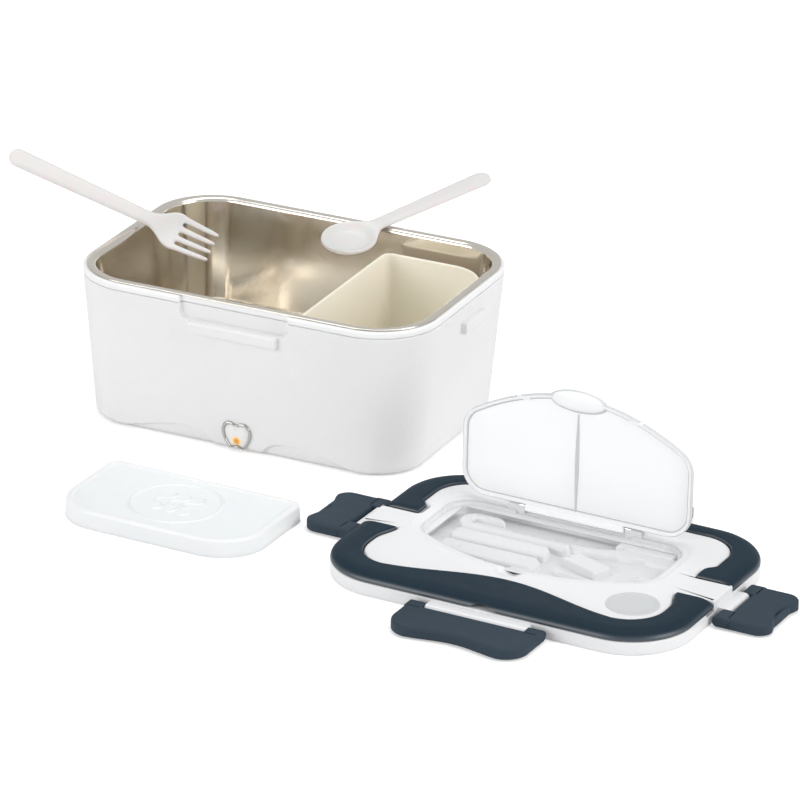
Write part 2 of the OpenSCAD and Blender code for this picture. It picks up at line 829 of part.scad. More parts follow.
module lid_shell() {
    color("white") at_lid() difference() {
        union() {
            lid_skin();
            // knuckles of the latch hinges
            for (a = [0, 180]) rotate([0, 0, a]) translate([0, -lid_w / 2, 0]) knuckle(front_lug);
            for (a = [90, 270]) rotate([0, 0, a])
                translate([(a == 90 ? 1 : -1) * side_offset, -lid_l / 2, 0]) knuckle(side_lug);
            // hinge blocks of the clear cover, and the floor of the slot between them
            for (s = [-1, 1]) translate([comp_x + s * (hinge_half + hinge_block / 2), hinge_y, 0])
                hinge_ear();
            translate([comp_x - hinge_half - 1.5, comp_back + rebate, slot_z - 1.2])
                cube([2 * hinge_half + 3, 6, lid_top - slot_z]);
            // thick spots round the handle's pivots
            for (s = [-1, 1]) scale([s, 1, 1])
                translate([band_x - flare - 3, handle_y - 6, handle_z - end_r - well_t])
                    cube([flare + 3 + end_x + 1.5, 12, lid_wall_h - handle_z + end_r + well_t]);
        }
        translate([comp_x - hinge_half, comp_back - 3, slot_z])
            cube([2 * hinge_half, 9.5, 12]);
        // thumb scoop
        translate([comp_x, comp_y - comp_w / 2 - 6, lid_top + 4]) sphere(9);
        // vent seat
        translate([vent_pos.x, vent_pos.y, lid_top - 1.4]) cylinder(r = vent_d / 2 + clear, h = 9);
        translate([vent_pos.x, vent_pos.y, 0]) cylinder(r = vent_d / 2 - 6, h = 20);
        // bores for the latch pins, the handle's pins and the cover's pins
        for (a = [0, 180]) rotate([0, 0, a])
            translate([0, -lid_w / 2 - pin_out, pin_z]) bore_x(latch_pin_d / 2 + 0.05, latch_l);
        for (a = [90, 270]) rotate([0, 0, a])
            translate([(a == 90 ? 1 : -1) * side_offset, -lid_l / 2 - pin_out, pin_z])
                bore_x(latch_pin_d / 2 + 0.05, side_latch_l);
        for (s = [-1, 1]) translate([s * (band_x - flare), handle_y, handle_z])
            bore_x(handle_pin_d / 2 + 0.05, 12);
        translate([comp_x, hinge_y, hinge_z]) bore_x(cover_pin_d / 2 + 0.05, 2 * hinge_half + 8);
        // wells that the handle's ends turn in
        for (s = [-1, 1]) scale([s, 1, 1])
            translate([band_x - flare - clear - 0.2, handle_y, handle_z]) rotate([0, 90, 0])
                cylinder(r = end_r + clear, h = flare + end_x + 2 * clear + 0.2);
    }
}

// Outer wall, shelf under the bands, raised middle and bridges, hollow from below
module lid_skin() {
    t = lid_t;
    difference() {
        union() {
            slab(lid_l, lid_w, lid_r, 0, lid_wall_h);
            translate([0, 0, lid_wall_h - t]) linear_extrude(lid_rise + t) {
                middle_outline(0);
                intersection() {
                    bridge_outline(0);
                    rrect(lid_l - 3, lid_w, lid_r - 1);
                }
            }
        }
        slab(lid_l - 2 * t, lid_w - 2 * t, lid_r - t, -1, lid_wall_h - t);
        translate([0, 0, lid_wall_h - t - 1]) linear_extrude(lid_rise + 1) middle_outline(-t);
        translate([comp_x, comp_y, 0]) {
            linear_extrude(lid_top + 1) comp_outline(-rebate);
            translate([0, 0, lid_top - lip_d]) linear_extrude(9) comp_outline(-rebate - lip_w);
        }
    }
}

module bore_x(r, l) {
    rotate([0, 90, 0]) cylinder(r = r, h = l, center = true);
}

// Barrel of a latch hinge with the web that joins it to the lid's wall
module knuckle(l) {
    translate([0, -pin_out, pin_z]) bore_x(lug_r, l);
    translate([-l / 2, -pin_out, pin_z - lug_r]) cube([l, pin_out + 1, 2 * lug_r - 0.6]);
}

module hinge_ear() {
    translate([-hinge_block / 2, -3, rest_z]) cube([hinge_block, 6.5, hinge_z - rest_z]);
    translate([0, 0, hinge_z]) bore_x(knuckle_r + 0.2, hinge_block);
}

module lid_underside() {
    g = lid_t + clear;
    color("white") at_lid() difference() {
        slab(lid_l - 2 * g, lid_w - 2 * g, lid_r - g, under_z, under_z + under_t);
        translate([vent_pos.x, vent_pos.y, under_z - 1])
            cylinder(r = vent_d / 2 - 6, h = under_t + 2);
    }
}

module lid_seal() {
    o = lid_t + clear;
    i = o + seal_w;
    color("lightgray") at_lid() difference() {
        slab(lid_l - 2 * o, lid_w - 2 * o, lid_r - o, 0.3, under_z);
        slab(lid_l - 2 * i, lid_w - 2 * i, lid_r - i, -1, 4);
    }
}

// Moulded tray of the compartment, with raised pads that hold a fork and a spoon
module cutlery_insert() {
    floor_z = insert_z + insert_t;
    color("white") at_lid() translate([comp_x, comp_y, 0]) {
        difference() {
            translate([0, 0, insert_z]) linear_extrude(rest_z - 0.1 - insert_z)
                comp_outline(clear - rebate);
            translate([0, 0, floor_z]) linear_extrude(20) comp_outline(0);
            translate([-hinge_half - hinge_block - clear, comp_w / 2 - 3, slot_z - clear])
                cube([2 * (hinge_half + hinge_block + clear), 12, 12]);
        }
        for (p = pads) translate([p[0] * comp_l, p[1] * comp_w, floor_z - eps])
            pad(p[2] * comp_l, p[3] * comp_w, p[4]);
    }
}

// Raised pads: middle x, middle y, length and width as parts of the compartment's, then height
pads = [[-0.183, 0.225, 0.535, 0.062, 5], [-0.218, 0.014, 0.423, 0.169, 5],
    [-0.211, -0.225, 0.394, 0.169, 5], [0.099, -0.028, 0.141, 0.141, 4],
    [0.225, -0.296, 0.31, 0.085, 4], [0.423, 0.028, 0.056, 0.113, 5]];

module pad(l, w, h) {
    r = min(1.9, w / 2 - 0.2);
    slab(l, w, r, 0, h - 0.8);
    slab(l - 1.2, w - 1.2, r - 0.6, h - 0.8 - eps, h);
}

module rear_trim() {
    color("darkslategray") at_lid() bands(1);
}

// One band (s = -1 front, s = 1 rear) with stepped edges
module bands(s) {
    for (i = [0:2]) translate([0, 0, band_z]) linear_extrude(band_top - band_z - [2.4, 1, 0][i])
        intersection() {
            band_outline();
            rrect(lid_l - [0, 2, 5][i], lid_w - [0, 2, 5][i], lid_r - [0, 1, 2.5][i]);
            translate([-lid_l, s > 0 ? 0 : -lid_w]) square([2 * lid_l, lid_w]);
        }
}

// Front band: its ends are round about the pivots, and deeper there
module carry_handle() {
    notch = 13;
    color("darkslategray") at_lid() difference() {
        union() {
            difference() {
                bands(-1);
                translate([-lid_l, handle_y, 0]) cube([2 * lid_l, lid_w, 2 * band_top]);
            }
            for (s = [-1, 1]) scale([s, 1, 1]) {
                translate([band_x - flare + clear, handle_y, handle_z]) rotate([0, 90, 0])
                    cylinder(r = end_r, h = flare + end_x - clear);
                translate([band_x, handle_y, handle_z]) rotate([0, 90, 0])
                    cylinder(r = end_low, h = band_w - 1);
            }
        }
        translate([0, -lid_w / 2 - 4.5, lid_wall_h - 1]) cylinder(r = notch, h = 4.6);
        for (s = [-1, 1]) translate([s * (band_x - flare + 5), handle_y, handle_z])
            bore_x(handle_pin_d / 2 + 0.06, 12);
    }
}

module handle_pins() {
    color("silver") at_lid() for (s = [-1, 1])
        translate([s * (band_x - flare + 2.5), handle_y, handle_z]) bore_x(handle_pin_d / 2, pin_l);
}

// Clear cover in its open pose, hinged along the back of the compartment
module cutlery_cover() {
    at = [comp_x, hinge_y, hinge_z];
    color([0.95, 0.97, 1, 0.5]) at_lid() translate(at) rotate([-cover_open, 0, 0]) translate(-at)
        cover_shut();
}

module cover_shut() {
    translate([comp_x, comp_y, rest_z]) {
        difference() {
            linear_extrude(cover_t) comp_outline(clear - rebate);
            for (s = [-1, 1]) translate([s * (hinge_half + hinge_block / 2), comp_w / 2 + 4, 0])
                cube([hinge_block + 1.2, 16, 12], center = true);
            // thumb scoop in the free edge
            translate([0, -comp_w / 2 - 2, cover_t + 5.2]) scale([1.8, 1, 1]) sphere(6);
        }
        translate([-1, -comp_w / 2 + 8, cover_t - 0.2]) cube([2, comp_w - 14, 0.8]);
    }
    translate([comp_x, hinge_y, hinge_z]) {
        difference() {
            union() {
                bore_x(knuckle_r, 2 * hinge_half - 2 * clear);
                translate([-hinge_half + clear, -5, rest_z - hinge_z])
                    cube([2 * hinge_half - 2 * clear, 5, cover_t]);
            }
            bore_x(cover_pin_d / 2 + 0.06, 2 * hinge_half + 9);
        }
    }
}

module cover_pins() {
    color("silver") at_lid() for (s = [-1, 1])
        translate([comp_x + s * (hinge_half - 1), hinge_y, hinge_z])
            bore_x(cover_pin_d / 2, 2 * hinge_block);
}

module vent_plug() {
    color("whitesmoke") at_lid() translate([vent_pos.x, vent_pos.y, 0]) {
        translate([0, 0, lid_top - 1.4]) cylinder(r = vent_d / 2, h = 1.8);
        translate([0, 0, under_z + 0.4]) cylinder(r = vent_d / 2 - 6 - clear, h = lid_top - under_z - 1);
    }
}

// Steel pins of the four latches, one group
module latch_pins() {
    color("silver") at_lid() {
        for (a = [0, 180]) rotate([0, 0, a]) translate([0, -lid_w / 2 - pin_out, pin_z])
            bore_x(latch_pin_d / 2, latch_l - 4);
        for (a = [90, 270]) rotate([0, 0, a])
            translate([(a == 90 ? 1 : -1) * side_offset, -lid_l / 2 - pin_out, pin_z])
                bore_x(latch_pin_d / 2, side_latch_l - 4);
    }
}

// Plan of a latch flap; y runs inward, so the flap reaches toward -Y
module flap_outline(l, reach, d) {
    r = 12 * l / latch_l - d;
    wave = 3;
    n = 20;
    w = l / 2 - d;
    top = -4 + d;
    low = -reach + d;
    polygon([[-w, top], [w, top], [w, low + r],
        for (i = [0:n]) let (x = w - r - 2 * (w - r) * i / n)
            [x, low + wave * (1 + cos(360 * x / (l * 0.78))) / 2],
        [-w, low + r]]);
    for (s = [-1, 1]) translate([s * (w - r), low + r]) circle(r);
}

// Hollow flap with two ears on the pin and a hook rib underneath
module latch(l, lug, reach, hook) {
    z1 = latch_h + 1.2;
    ear = (l - lug) / 2 - clear;
    difference() {
        union() {
            difference() {
                translate([0, 0, 1.2]) linear_extrude(latch_h) flap_outline(l, reach, 0);
                translate([0, 0, 0]) linear_extrude(z1 - 2) flap_outline(l, reach, 2);
            }
            for (s = [-1, 1]) translate([s * (l / 2 - ear / 2), 0, pin_z]) {
                bore_x(ear_r, ear);
                translate([-ear / 2, -7, -ear_r]) cube([ear, 7, 2 * ear_r]);
            }
            translate([-hook / 2, -29, 1.4]) cube([hook, 2.4, z1 - 3]);
        }
        bore_x_at(pin_z, latch_pin_d / 2 + 0.06, l + 2);
        translate([-lug / 2 - clear, -lug_r - 0.6, 0]) cube([lug + 2 * clear, 9, 9]);
    }
}

module bore_x_at(z, r, l) {
    translate([0, 0, z]) bore_x(r, l);
}

module front_latch() {
    color("darkslategray") at_lid() translate([0, -lid_w / 2 - pin_out, 0])
        latch(latch_l, front_lug, latch_reach, ledge_l - 4);
}

module rear_latch() {
    color("darkslategray") at_lid() rotate([0, 0, 180]) translate([0, -lid_w / 2 - pin_out, 0])
        latch(latch_l, front_lug, latch_reach, ledge_l - 4);
}

module left_latch() {
    color("darkslategray") at_lid() rotate([0, 0, 270])
        translate([-side_offset, -lid_l / 2 - pin_out, 0])
            latch(side_latch_l, side_lug, side_reach, side_ledge_l - 4);
}

module right_latch() {
    color("darkslategray") at_lid() rotate([0, 0, 90])
        translate([side_offset, -lid_l / 2 - pin_out, 0])
            latch(side_latch_l, side_lug, side_reach, side_ledge_l - 4);
}

outer_shell();
top_collar();
inner_housing();
bottom_cover();
rubber_feet();
cover_screws();
heater_plate();
heating_element();
element_clamp();
clamp_screws();
thermostat();
thermal_fuse();
heat_shield();
inlet_housing();
inlet_pins();
wiring();
indicator_bezel();
indicator_lens();
indicator_lamp();
lamp_board();
steel_tray();
inner_container();
container_lid();
fork();
spoon();
lid_shell();
lid_underside();
lid_seal();
cutlery_insert();
rear_trim();
carry_handle();
handle_pins();
cutlery_cover();
cover_pins();
vent_plug();
latch_pins();
front_latch();
rear_latch();
left_latch();
right_latch();
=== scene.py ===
from collections import namedtuple
import math

import bmesh
import bpy
import numpy as np
from mathutils import Matrix


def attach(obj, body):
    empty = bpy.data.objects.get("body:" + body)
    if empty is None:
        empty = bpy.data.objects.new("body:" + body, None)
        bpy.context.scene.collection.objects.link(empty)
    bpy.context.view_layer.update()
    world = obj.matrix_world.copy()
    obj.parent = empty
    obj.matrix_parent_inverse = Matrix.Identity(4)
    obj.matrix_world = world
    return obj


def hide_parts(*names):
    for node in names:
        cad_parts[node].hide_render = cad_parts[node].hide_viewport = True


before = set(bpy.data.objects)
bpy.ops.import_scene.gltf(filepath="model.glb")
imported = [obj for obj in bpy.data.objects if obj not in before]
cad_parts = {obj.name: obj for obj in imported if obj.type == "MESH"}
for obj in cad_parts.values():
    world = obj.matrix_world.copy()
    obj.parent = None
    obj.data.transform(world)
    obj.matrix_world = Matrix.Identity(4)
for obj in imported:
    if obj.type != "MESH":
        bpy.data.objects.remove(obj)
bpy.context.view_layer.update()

# Electric lunch box, taken apart for serving. Lengths are in millimetres in this script and become
# metres when a mesh is written. X runs along the long side, Y to the back, Z up from the table.


# ----------------------------------------
# Camera, table and light: a long lens from the front right, a pale table that keeps the
# shadows, and large soft lamps over white surroundings.
cam_turn = math.radians(25.11)
cam_tilt = math.radians(22.92)
cam_roll = math.radians(1.145)
cam_away = (62.6, 4.88, 3500.0)

cam_back = np.array([math.sin(cam_turn) * math.cos(cam_tilt),
                     -math.cos(cam_turn) * math.cos(cam_tilt), math.sin(cam_tilt)])
cam_flat = np.array([math.cos(cam_turn), math.sin(cam_turn), 0.0])
cam_up = np.cross(cam_back, cam_flat)
cam_right = cam_flat * math.cos(cam_roll) + cam_up * math.sin(cam_roll)
cam_up = cam_up * math.cos(cam_roll) - cam_flat * math.sin(cam_roll)
cam_eye = (cam_right * cam_away[0] + cam_up * cam_away[1] + cam_back * cam_away[2]) * 0.001


def pose(right, up, back, at):
    """Matrix of an object at a place whose own X, Y and Z point right, up and back."""
    return Matrix([*np.column_stack([right, up, back, at]).tolist(), (0, 0, 0, 1)])


camera = bpy.data.objects.new("camera", bpy.data.cameras.new("camera"))
camera.data.lens = 266.5
camera.data.shift_x = 0.002
camera.data.sensor_width = 36
camera.data.sensor_fit = "HORIZONTAL"
camera.data.clip_end = 50
camera.matrix_world = pose(cam_right, cam_up, cam_back, cam_eye)
bpy.context.scene.collection.objects.link(camera)
bpy.context.scene.camera = camera
bpy.context.scene.view_settings.view_transform = "Standard"


def link(tree, *wires):
    """Joins nodes of a tree, each wire given as (node, its output, node, its input)."""
    for a, output, b, socket in wires:
        tree.links.new(a.outputs[output], b.inputs[socket])


def add(tree, kind, *values, **named):
    """A new node: plain values set its inputs in order, named ones its inputs or properties."""
    node = tree.nodes.new(kind)
    for socket, value in zip(node.inputs, values):
        socket.default_value = value
    for key, value in named.items():
        if key in node.inputs:
            node.inputs[key].default_value = value
        else:
            setattr(node, key, value)
    return node


def seen_directly(tree):
    """The node whose output is 1 for rays from the camera and through clear plastic, a share for
    those from gloss, and 0 for those that light things."""
    path = add(tree, "ShaderNodeLightPath")
    last = add(tree, "ShaderNodeMath", 0.0, 0.35, operation="MULTIPLY")
    link(tree, (path, "Is Glossy Ray", last, 0))
    for name in ("Is Camera Ray", "Is Transmission Ray"):
        either = add(tree, "ShaderNodeMath", operation="MAXIMUM")
        link(tree, (last, 0, either, 0), (path, name, either, 1))
        last = either
    return last


world = bpy.data.worlds.new("surroundings")
bpy.context.scene.world = world
world.use_nodes = True
tree = world.node_tree
tree.nodes.clear()
room = add(tree, "ShaderNodeBackground", Color=(0.98, 0.99, 1.0, 1), Strength=0.42)
white = add(tree, "ShaderNodeBackground", Color=(1, 1, 1, 1), Strength=1.0)
either = add(tree, "ShaderNodeMixShader")
out = add(tree, "ShaderNodeOutputWorld")
link(tree, (seen_directly(tree), 0, either, 0), (room, 0, either, 1), (white, 0, either, 2),
     (either, 0, out, "Surface"))

table = bpy.data.objects.new("table", bpy.data.meshes.new("table"))
table.data.from_pydata([(-6, -6, 0), (6, -6, 0), (6, 6, 0), (-6, 6, 0)], [], [(0, 1, 2, 3)])
bpy.context.scene.collection.objects.link(table)
paint = bpy.data.materials.new("table_white")
paint.use_nodes = True
tree = paint.node_tree
tree.nodes.clear()
matte = add(tree, "ShaderNodeBsdfDiffuse", Color=(0.86, 0.86, 0.86, 1))
lift = add(tree, "ShaderNodeEmission")
part_lit = add(tree, "ShaderNodeMath", 0.0, 0.38, operation="MULTIPLY")
both = add(tree, "ShaderNodeAddShader")
out = add(tree, "ShaderNodeOutputMaterial")
link(tree, (seen_directly(tree), 0, part_lit, 0), (part_lit, 0, lift, "Strength"), (matte, 0, both, 0),
     (lift, 0, both, 1), (both, 0, out, "Surface"))
table.data.materials.append(paint)

# name, place in metres, aim in metres, width and height in metres, watts
for name, at, aim, wide, high, watts in (
        ("lamp_key", (-1.3, -2.3, 1.05), (0.05, -0.05, 0.03), 1.9, 1.3, 34),
        ("lamp_right", (2.1, -0.3, 0.9), (0.1, 0.0, 0.03), 1.0, 1.2, 22),
        ("lamp_top", (0.1, 0.3, 2.2), (0.1, -0.05, 0.0), 2.2, 1.4, 21)):
    lamp = bpy.data.objects.new(name, bpy.data.lights.new(name, "AREA"))
    lamp.data.shape = "RECTANGLE"
    lamp.data.size, lamp.data.size_y = wide, high
    lamp.data.energy = watts
    away = np.array(at) - np.array(aim)
    away = away / np.linalg.norm(away)
    side = np.cross([0, 0, 1], away)
    side = side / np.linalg.norm(side)
    lamp.matrix_world = pose(side, np.cross(away, side), away, at)
    bpy.context.scene.collection.objects.link(lamp)


# ----------------------------------------
# Outer shell of the base: injection-moulded white polypropylene with a fine spark-eroded grain.
# Walls draft inward to the bottom; latch recesses, catch ledges and shallow skirt arches are
# moulded in the same shot.
core_x, core_y = 74.0, 40.5     # every level of the base is this rectangle, widened by a radius
shell_r, shell_foot_r = 39.0, 31.5
shell_top, shell_low = 88.6, 4.0
shell_wall = 2.4
recess_half, recess_low, recess_in, recess_r = 35.0, 79.6, 3.4, 6.0
arch_from, arch_to, arch_high, arch_in = 16.0, 80.0, 9.5, 1.8
shell_slope = math.atan((shell_r - shell_foot_r) / (shell_top - shell_low))


def skin(rows, ring=True, close=False, ends=False):
    """Faces through rows of points. Each point joins the next in its row and the same one in the
    next row; ring and close join last to first; ends shuts both by a fan about their middles."""
    rows = np.asarray(rows, float)
    high, wide = rows.shape[:2]
    r = np.arange(high if close else high - 1)[:, None]
    c = np.arange(wide if ring else wide - 1)[None, :]
    r2, c2 = (r + 1) % high, (c + 1) % wide
    faces = np.stack([r * wide + c, r * wide + c2, r2 * wide + c2, r2 * wide + c], -1)
    faces = faces.reshape(-1, 4).tolist()
    points = [rows.reshape(-1, 3)]
    for row, step in ((0, -1), (high - 1, 1)) if ends else ():
        around = [row * wide + np.arange(wide), row * wide + (np.arange(wide) + 1) % wide]
        middle = np.full(wide, sum(len(p) for p in points))
        faces += np.stack([middle] + around[::step], -1).tolist()
        points.append(rows[row].mean(0)[None])
    return np.concatenate(points), faces


def piece(name, parts, finish, body, replaces, sharp=38):
    """One object from several skins in millimetres: joined, doubles merged, faces turned outward,
    smooth but for edges sharper than the angle; it rides its body and stands for its CAD nodes."""
    merge_by = 4e-7
    points, faces, first = [], [], 0
    for p, f in parts:
        points.append(np.asarray(p, float))
        faces += [[i + first for i in face] for face in f]
        first += len(p)
    mesh = bpy.data.meshes.new(name)
    mesh.from_pydata((np.concatenate(points) * 0.001).tolist(), [], faces)
    work = bmesh.new()
    work.from_mesh(mesh)
    bmesh.ops.remove_doubles(work, verts=work.verts, dist=merge_by)
    bmesh.ops.dissolve_degenerate(work, edges=work.edges, dist=1e-9)
    bmesh.ops.recalc_face_normals(work, faces=work.faces)
    work.to_mesh(mesh)
    work.free()
    mesh.shade_smooth()
    mesh.set_sharp_from_angle(angle=math.radians(sharp))
    mesh.materials.append(finish)
    obj = bpy.data.objects.new(name, mesh)
    bpy.context.scene.collection.objects.link(obj)
    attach(obj, body)
    if replaces:
        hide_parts(*replaces)
    return obj


def group_sockets(group, ins):
    """A shader group's named inputs with their defaults, and its three outputs."""
    kinds = {"c": "NodeSocketColor", "f": "NodeSocketFloat", "v": "NodeSocketVector"}
    for name, kind, default in ins:
        socket = group.interface.new_socket(name, in_out="INPUT", socket_type=kinds[kind])
        socket.default_value = default
    for name, kind in (("Colour", "c"), ("Roughness", "f"), ("Normal", "v")):
        group.interface.new_socket(name, in_out="OUTPUT", socket_type=kinds[kind])
    return group.nodes.new("NodeGroupInput"), group.nodes.new("NodeGroupOutput")


def build_moulded():
    """Moulded plastic: a fine bump of the mould's grain, a slow drift of tone, gloss that varies
    with handling, and convex edges, found by their pointiness, painted a little paler or darker."""
    g = bpy.data.node_groups.new("moulded", "ShaderNodeTree")
    gin, gout = group_sockets(
        g, [("Colour", "c", (0.8, 0.8, 0.8, 1)), ("Gloss", "f", 0.4), ("Grain per m", "f", 2500.0),
            ("Grain depth", "f", 0.2), ("Drift", "f", 0.03), ("Edge", "f", 0.0),
            ("Edge tone", "c", (0.95, 0.96, 0.97, 1))])
    at = add(g, "ShaderNodeTexCoord")
    grain = add(g, "ShaderNodeTexNoise", Detail=3.0, Roughness=0.65)
    slow = add(g, "ShaderNodeTexNoise", Scale=14.0, Detail=3.0)
    patch = add(g, "ShaderNodeTexNoise", Scale=90.0, Detail=4.0, Roughness=0.7)
    bump = add(g, "ShaderNodeBump", Distance=0.00025)
    shade = add(g, "ShaderNodeMapRange", **{"From Min": 0.3, "From Max": 0.7, "To Max": 1.0})
    less = add(g, "ShaderNodeMath", 1.0, operation="SUBTRACT")
    tint = add(g, "ShaderNodeMix", 1.0, data_type="RGBA", blend_type="MULTIPLY")
    edge = add(g, "ShaderNodeNewGeometry")
    convex_edge_mask = add(g, "ShaderNodeMapRange", **{"From Min": 0.52, "From Max": 0.62, "To Min": 0.0})
    convex_edge_share = add(g, "ShaderNodeMath", operation="MULTIPLY")
    edge_toned = add(g, "ShaderNodeMix", data_type="RGBA", blend_type="MIX")
    vary = add(g, "ShaderNodeMapRange", **{"From Min": 0.25, "From Max": 0.75, "To Min": -0.05,
                                          "To Max": 0.05})
    gloss = add(g, "ShaderNodeMath", operation="ADD", use_clamp=True)
    link(g, (at, "Object", grain, "Vector"), (at, "Object", slow, "Vector"),
         (at, "Object", patch, "Vector"), (gin, "Grain per m", grain, "Scale"),
         (grain, 0, bump, "Height"), (gin, "Grain depth", bump, "Strength"), (slow, 0, shade, "Value"),
         (gin, "Drift", less, 1), (less, 0, shade, "To Min"), (gin, "Colour", tint, 6),
         (shade, 0, tint, 7), (edge, "Pointiness", convex_edge_mask, "Value"), (convex_edge_mask, 0, convex_edge_share, 0),
         (gin, "Edge", convex_edge_share, 1), (convex_edge_share, 0, edge_toned, 0), (tint, 2, edge_toned, 6),
         (gin, "Edge tone", edge_toned, 7), (edge_toned, 2, gout, "Colour"), (patch, 0, vary, "Value"),
         (vary, 0, gloss, 0), (gin, "Gloss", gloss, 1), (gloss, 0, gout, "Roughness"),
         (bump, 0, gout, "Normal"))
    return g


moulded = build_moulded()


def finished(name, group, values, sockets):
    """A Principled material whose colour, roughness and bump come from a group with its own
    values; what is the same all over is set on the shader's sockets."""
    m = bpy.data.materials.new(name)
    m.use_nodes = True
    tree = m.node_tree
    shader = tree.nodes["Principled BSDF"]
    for key, value in sockets.items():
        shader.inputs[key.replace("_", " ")].default_value = value
    g = add(tree, "ShaderNodeGroup", node_tree=group)
    for key, value in values.items():
        g.inputs[key].default_value = value
    link(tree, (g, "Colour", shader, "Base Color"), (g, "Roughness", shader, "Roughness"),
         (g, "Normal", shader, "Normal"))
    return m


def plastic(name, colour, gloss, grain=2500.0, depth=0.2, drift=0.03, edge=0.0, tone=None, **sockets):
    """Moulded plastic of a colour and gloss; tone is the colour painted on its convex edges."""
    values = {"Colour": (*colour, 1), "Gloss": gloss, "Grain per m": grain, "Grain depth": depth,
              "Drift": drift, "Edge": edge}
    if tone:
        values["Edge tone"] = (*tone, 1)
    return finished(name, moulded, values, sockets)


def toward(angle):
    """Unit directions at angles in radians."""
    return np.stack([np.cos(angle), np.sin(angle)], -1)


def core_ring(xs, ys, corner=20):
    """Points of the core rectangle, and the outward direction at each: straights at the given
    places, and a quarter turn at each corner. A level of radius r is point + r * direction."""
    spots, ways = [], []
    turn = np.radians(np.linspace(-90, 0, corner))
    sides = (((xs, -core_y), (0, -1)), ((core_x, ys), (1, 0)),
             ((xs[::-1], core_y), (0, 1)), ((-core_x, ys[::-1]), (-1, 0)))
    corners = ((core_x, -core_y), (core_x, core_y), (-core_x, core_y), (-core_x, -core_y))
    for k, ((side, way), knee) in enumerate(zip(sides, corners)):
        line = np.stack(np.broadcast_arrays(*[np.asarray(s, float) for s in side]), -1)
        spots.append(line)
        ways.append(np.broadcast_to(np.array(way, float), line.shape))
        spots.append(np.broadcast_to(np.array(knee), (corner, 2)))
        ways.append(toward(turn + k * np.pi / 2))
    return np.concatenate(spots), np.concatenate(ways)


def smooth(t):
    """0 to 1 with a soft start and end, as t goes from 0 to 1."""
    t = np.clip(t, 0, 1)
    return t * t * (3 - 2 * t)


def recess_depth(x, z, on_side):
    """Depth of the latch recess: full inside a slot with round lower corners that is open at the
    top, falling to nothing over half a millimetre at its border."""
    qx = np.abs(x) - (recess_half - recess_r)
    qz = (recess_low + recess_r) - z
    out = np.hypot(np.maximum(qx, 0), np.maximum(qz, 0)) + np.minimum(np.maximum(qx, qz), 0)
    return on_side * recess_in * smooth((recess_r - out) / 0.5 + 0.5)


def arch_depth(x, z, on_side):
    """Depth of the skirt arches: one step below a line that rises fast beside the pedestal and
    falls slowly to the corner; distance to the line is its height difference over its slope."""
    t = np.clip((np.abs(x) - arch_from) / (arch_to - arch_from), 1e-4, 1)
    line = arch_high * np.sin(np.pi * t ** 0.55)
    slope = arch_high * np.cos(np.pi * t ** 0.55) * np.pi * 0.55 * t ** -0.45 / (arch_to - arch_from)
    away = (line - z) / np.sqrt(1 + slope ** 2)
    away = np.minimum(away, np.abs(x) - arch_from)
    return on_side * arch_in * smooth(away / 0.7 + 0.5) * (np.abs(x) < arch_to)


near = recess_half + np.linspace(-1.6, 1.6, 13)
steps = np.concatenate([np.linspace(-72.8, 72.8, 131), near, -near, [arch_from, -arch_from]])
front_steps = np.unique(np.round(steps, 3))
end_steps = np.linspace(-39.5, 39.5, 15)
core, outward = core_ring(front_steps, end_steps)
on_front = np.abs(outward[:, 1]) > 0.999
toward_y = np.abs(outward[:, 1]) ** 4


def level(line, z):
    """A row of points: a plan line at one height, or at a height for each point."""
    return np.column_stack([line, np.broadcast_to(z, len(line))])


def base_levels(levels, arches=True):
    """Rows round the base from (radius, height, part) levels; part 1 follows the recess and the
    arches, 0 doesn't."""
    rows = []
    for radius, z, follows in levels:
        spot = core + radius * outward
        r = np.full(len(core), float(radius))
        if follows:
            r = r - recess_depth(spot[:, 0], z, on_front)
            if arches:
                r = r - arch_depth(spot[:, 0], z, toward_y)
        rows.append(level(core + r[:, None] * outward, z))
    return rows


def wall_r(z):
    """Radius of the shell's outer wall at a height."""
    return shell_foot_r + (shell_r - shell_foot_r) * (z - shell_low) / (shell_top - shell_low)


foot_z, foot_in, foot_drop = 4.4, 3.2, 3.4
foot_r = wall_r(foot_z)
foot_turn = np.radians(np.linspace(0, 72, 7))
levels = [(wall_r(6) - shell_wall, 2.2, 0), (foot_r - foot_drop, foot_z - foot_drop, 0)]
levels += [(foot_r - foot_in * (1 - math.sin(a)), foot_z - foot_drop * math.cos(a), 1) for a in foot_turn]
heights = np.concatenate([np.linspace(4.6, 12, 17), np.linspace(13, 77.5, 22),
                          np.linspace(78.4, 80.8, 9), np.linspace(81.5, 88.0, 8)])
levels += [(wall_r(z), z, 1) for z in heights]
levels += [(shell_r - 0.15, shell_top - 0.18, 1), (shell_r - 0.6, shell_top, 1)]
inner_top = shell_r - shell_wall - recess_in
levels += [(inner_top + 2.2, shell_top, 1), (inner_top, shell_top, 0), (wall_r(6) - shell_wall, 6, 0)]
shell_parts = [skin(base_levels(levels), close=True)]


def soft_bar(section, x0, x1, soft=0.9, steps=5):
    """A bar along X with the given section, whose last bit at each end shrinks to a rounded face:
    a quarter circle of the section's size against the distance from the end."""
    section = np.asarray(section, float)
    mid = section.mean(0)
    turn = np.linspace(0, np.pi / 2, steps)
    half = np.abs(section - mid).max()
    along = soft * (1 - np.cos(turn[::-1]))[::-1]
    keep = 1 - (soft / half) * (1 - np.sin(turn))
    xs = np.concatenate([x0 + along, (x1 - along)[::-1]])
    ks = np.concatenate([keep, keep[::-1]])
    rows = [np.column_stack([np.full(len(section), x), mid + (section - mid) * k]) for x, k in zip(xs, ks)]
    return skin(rows, ends=True)


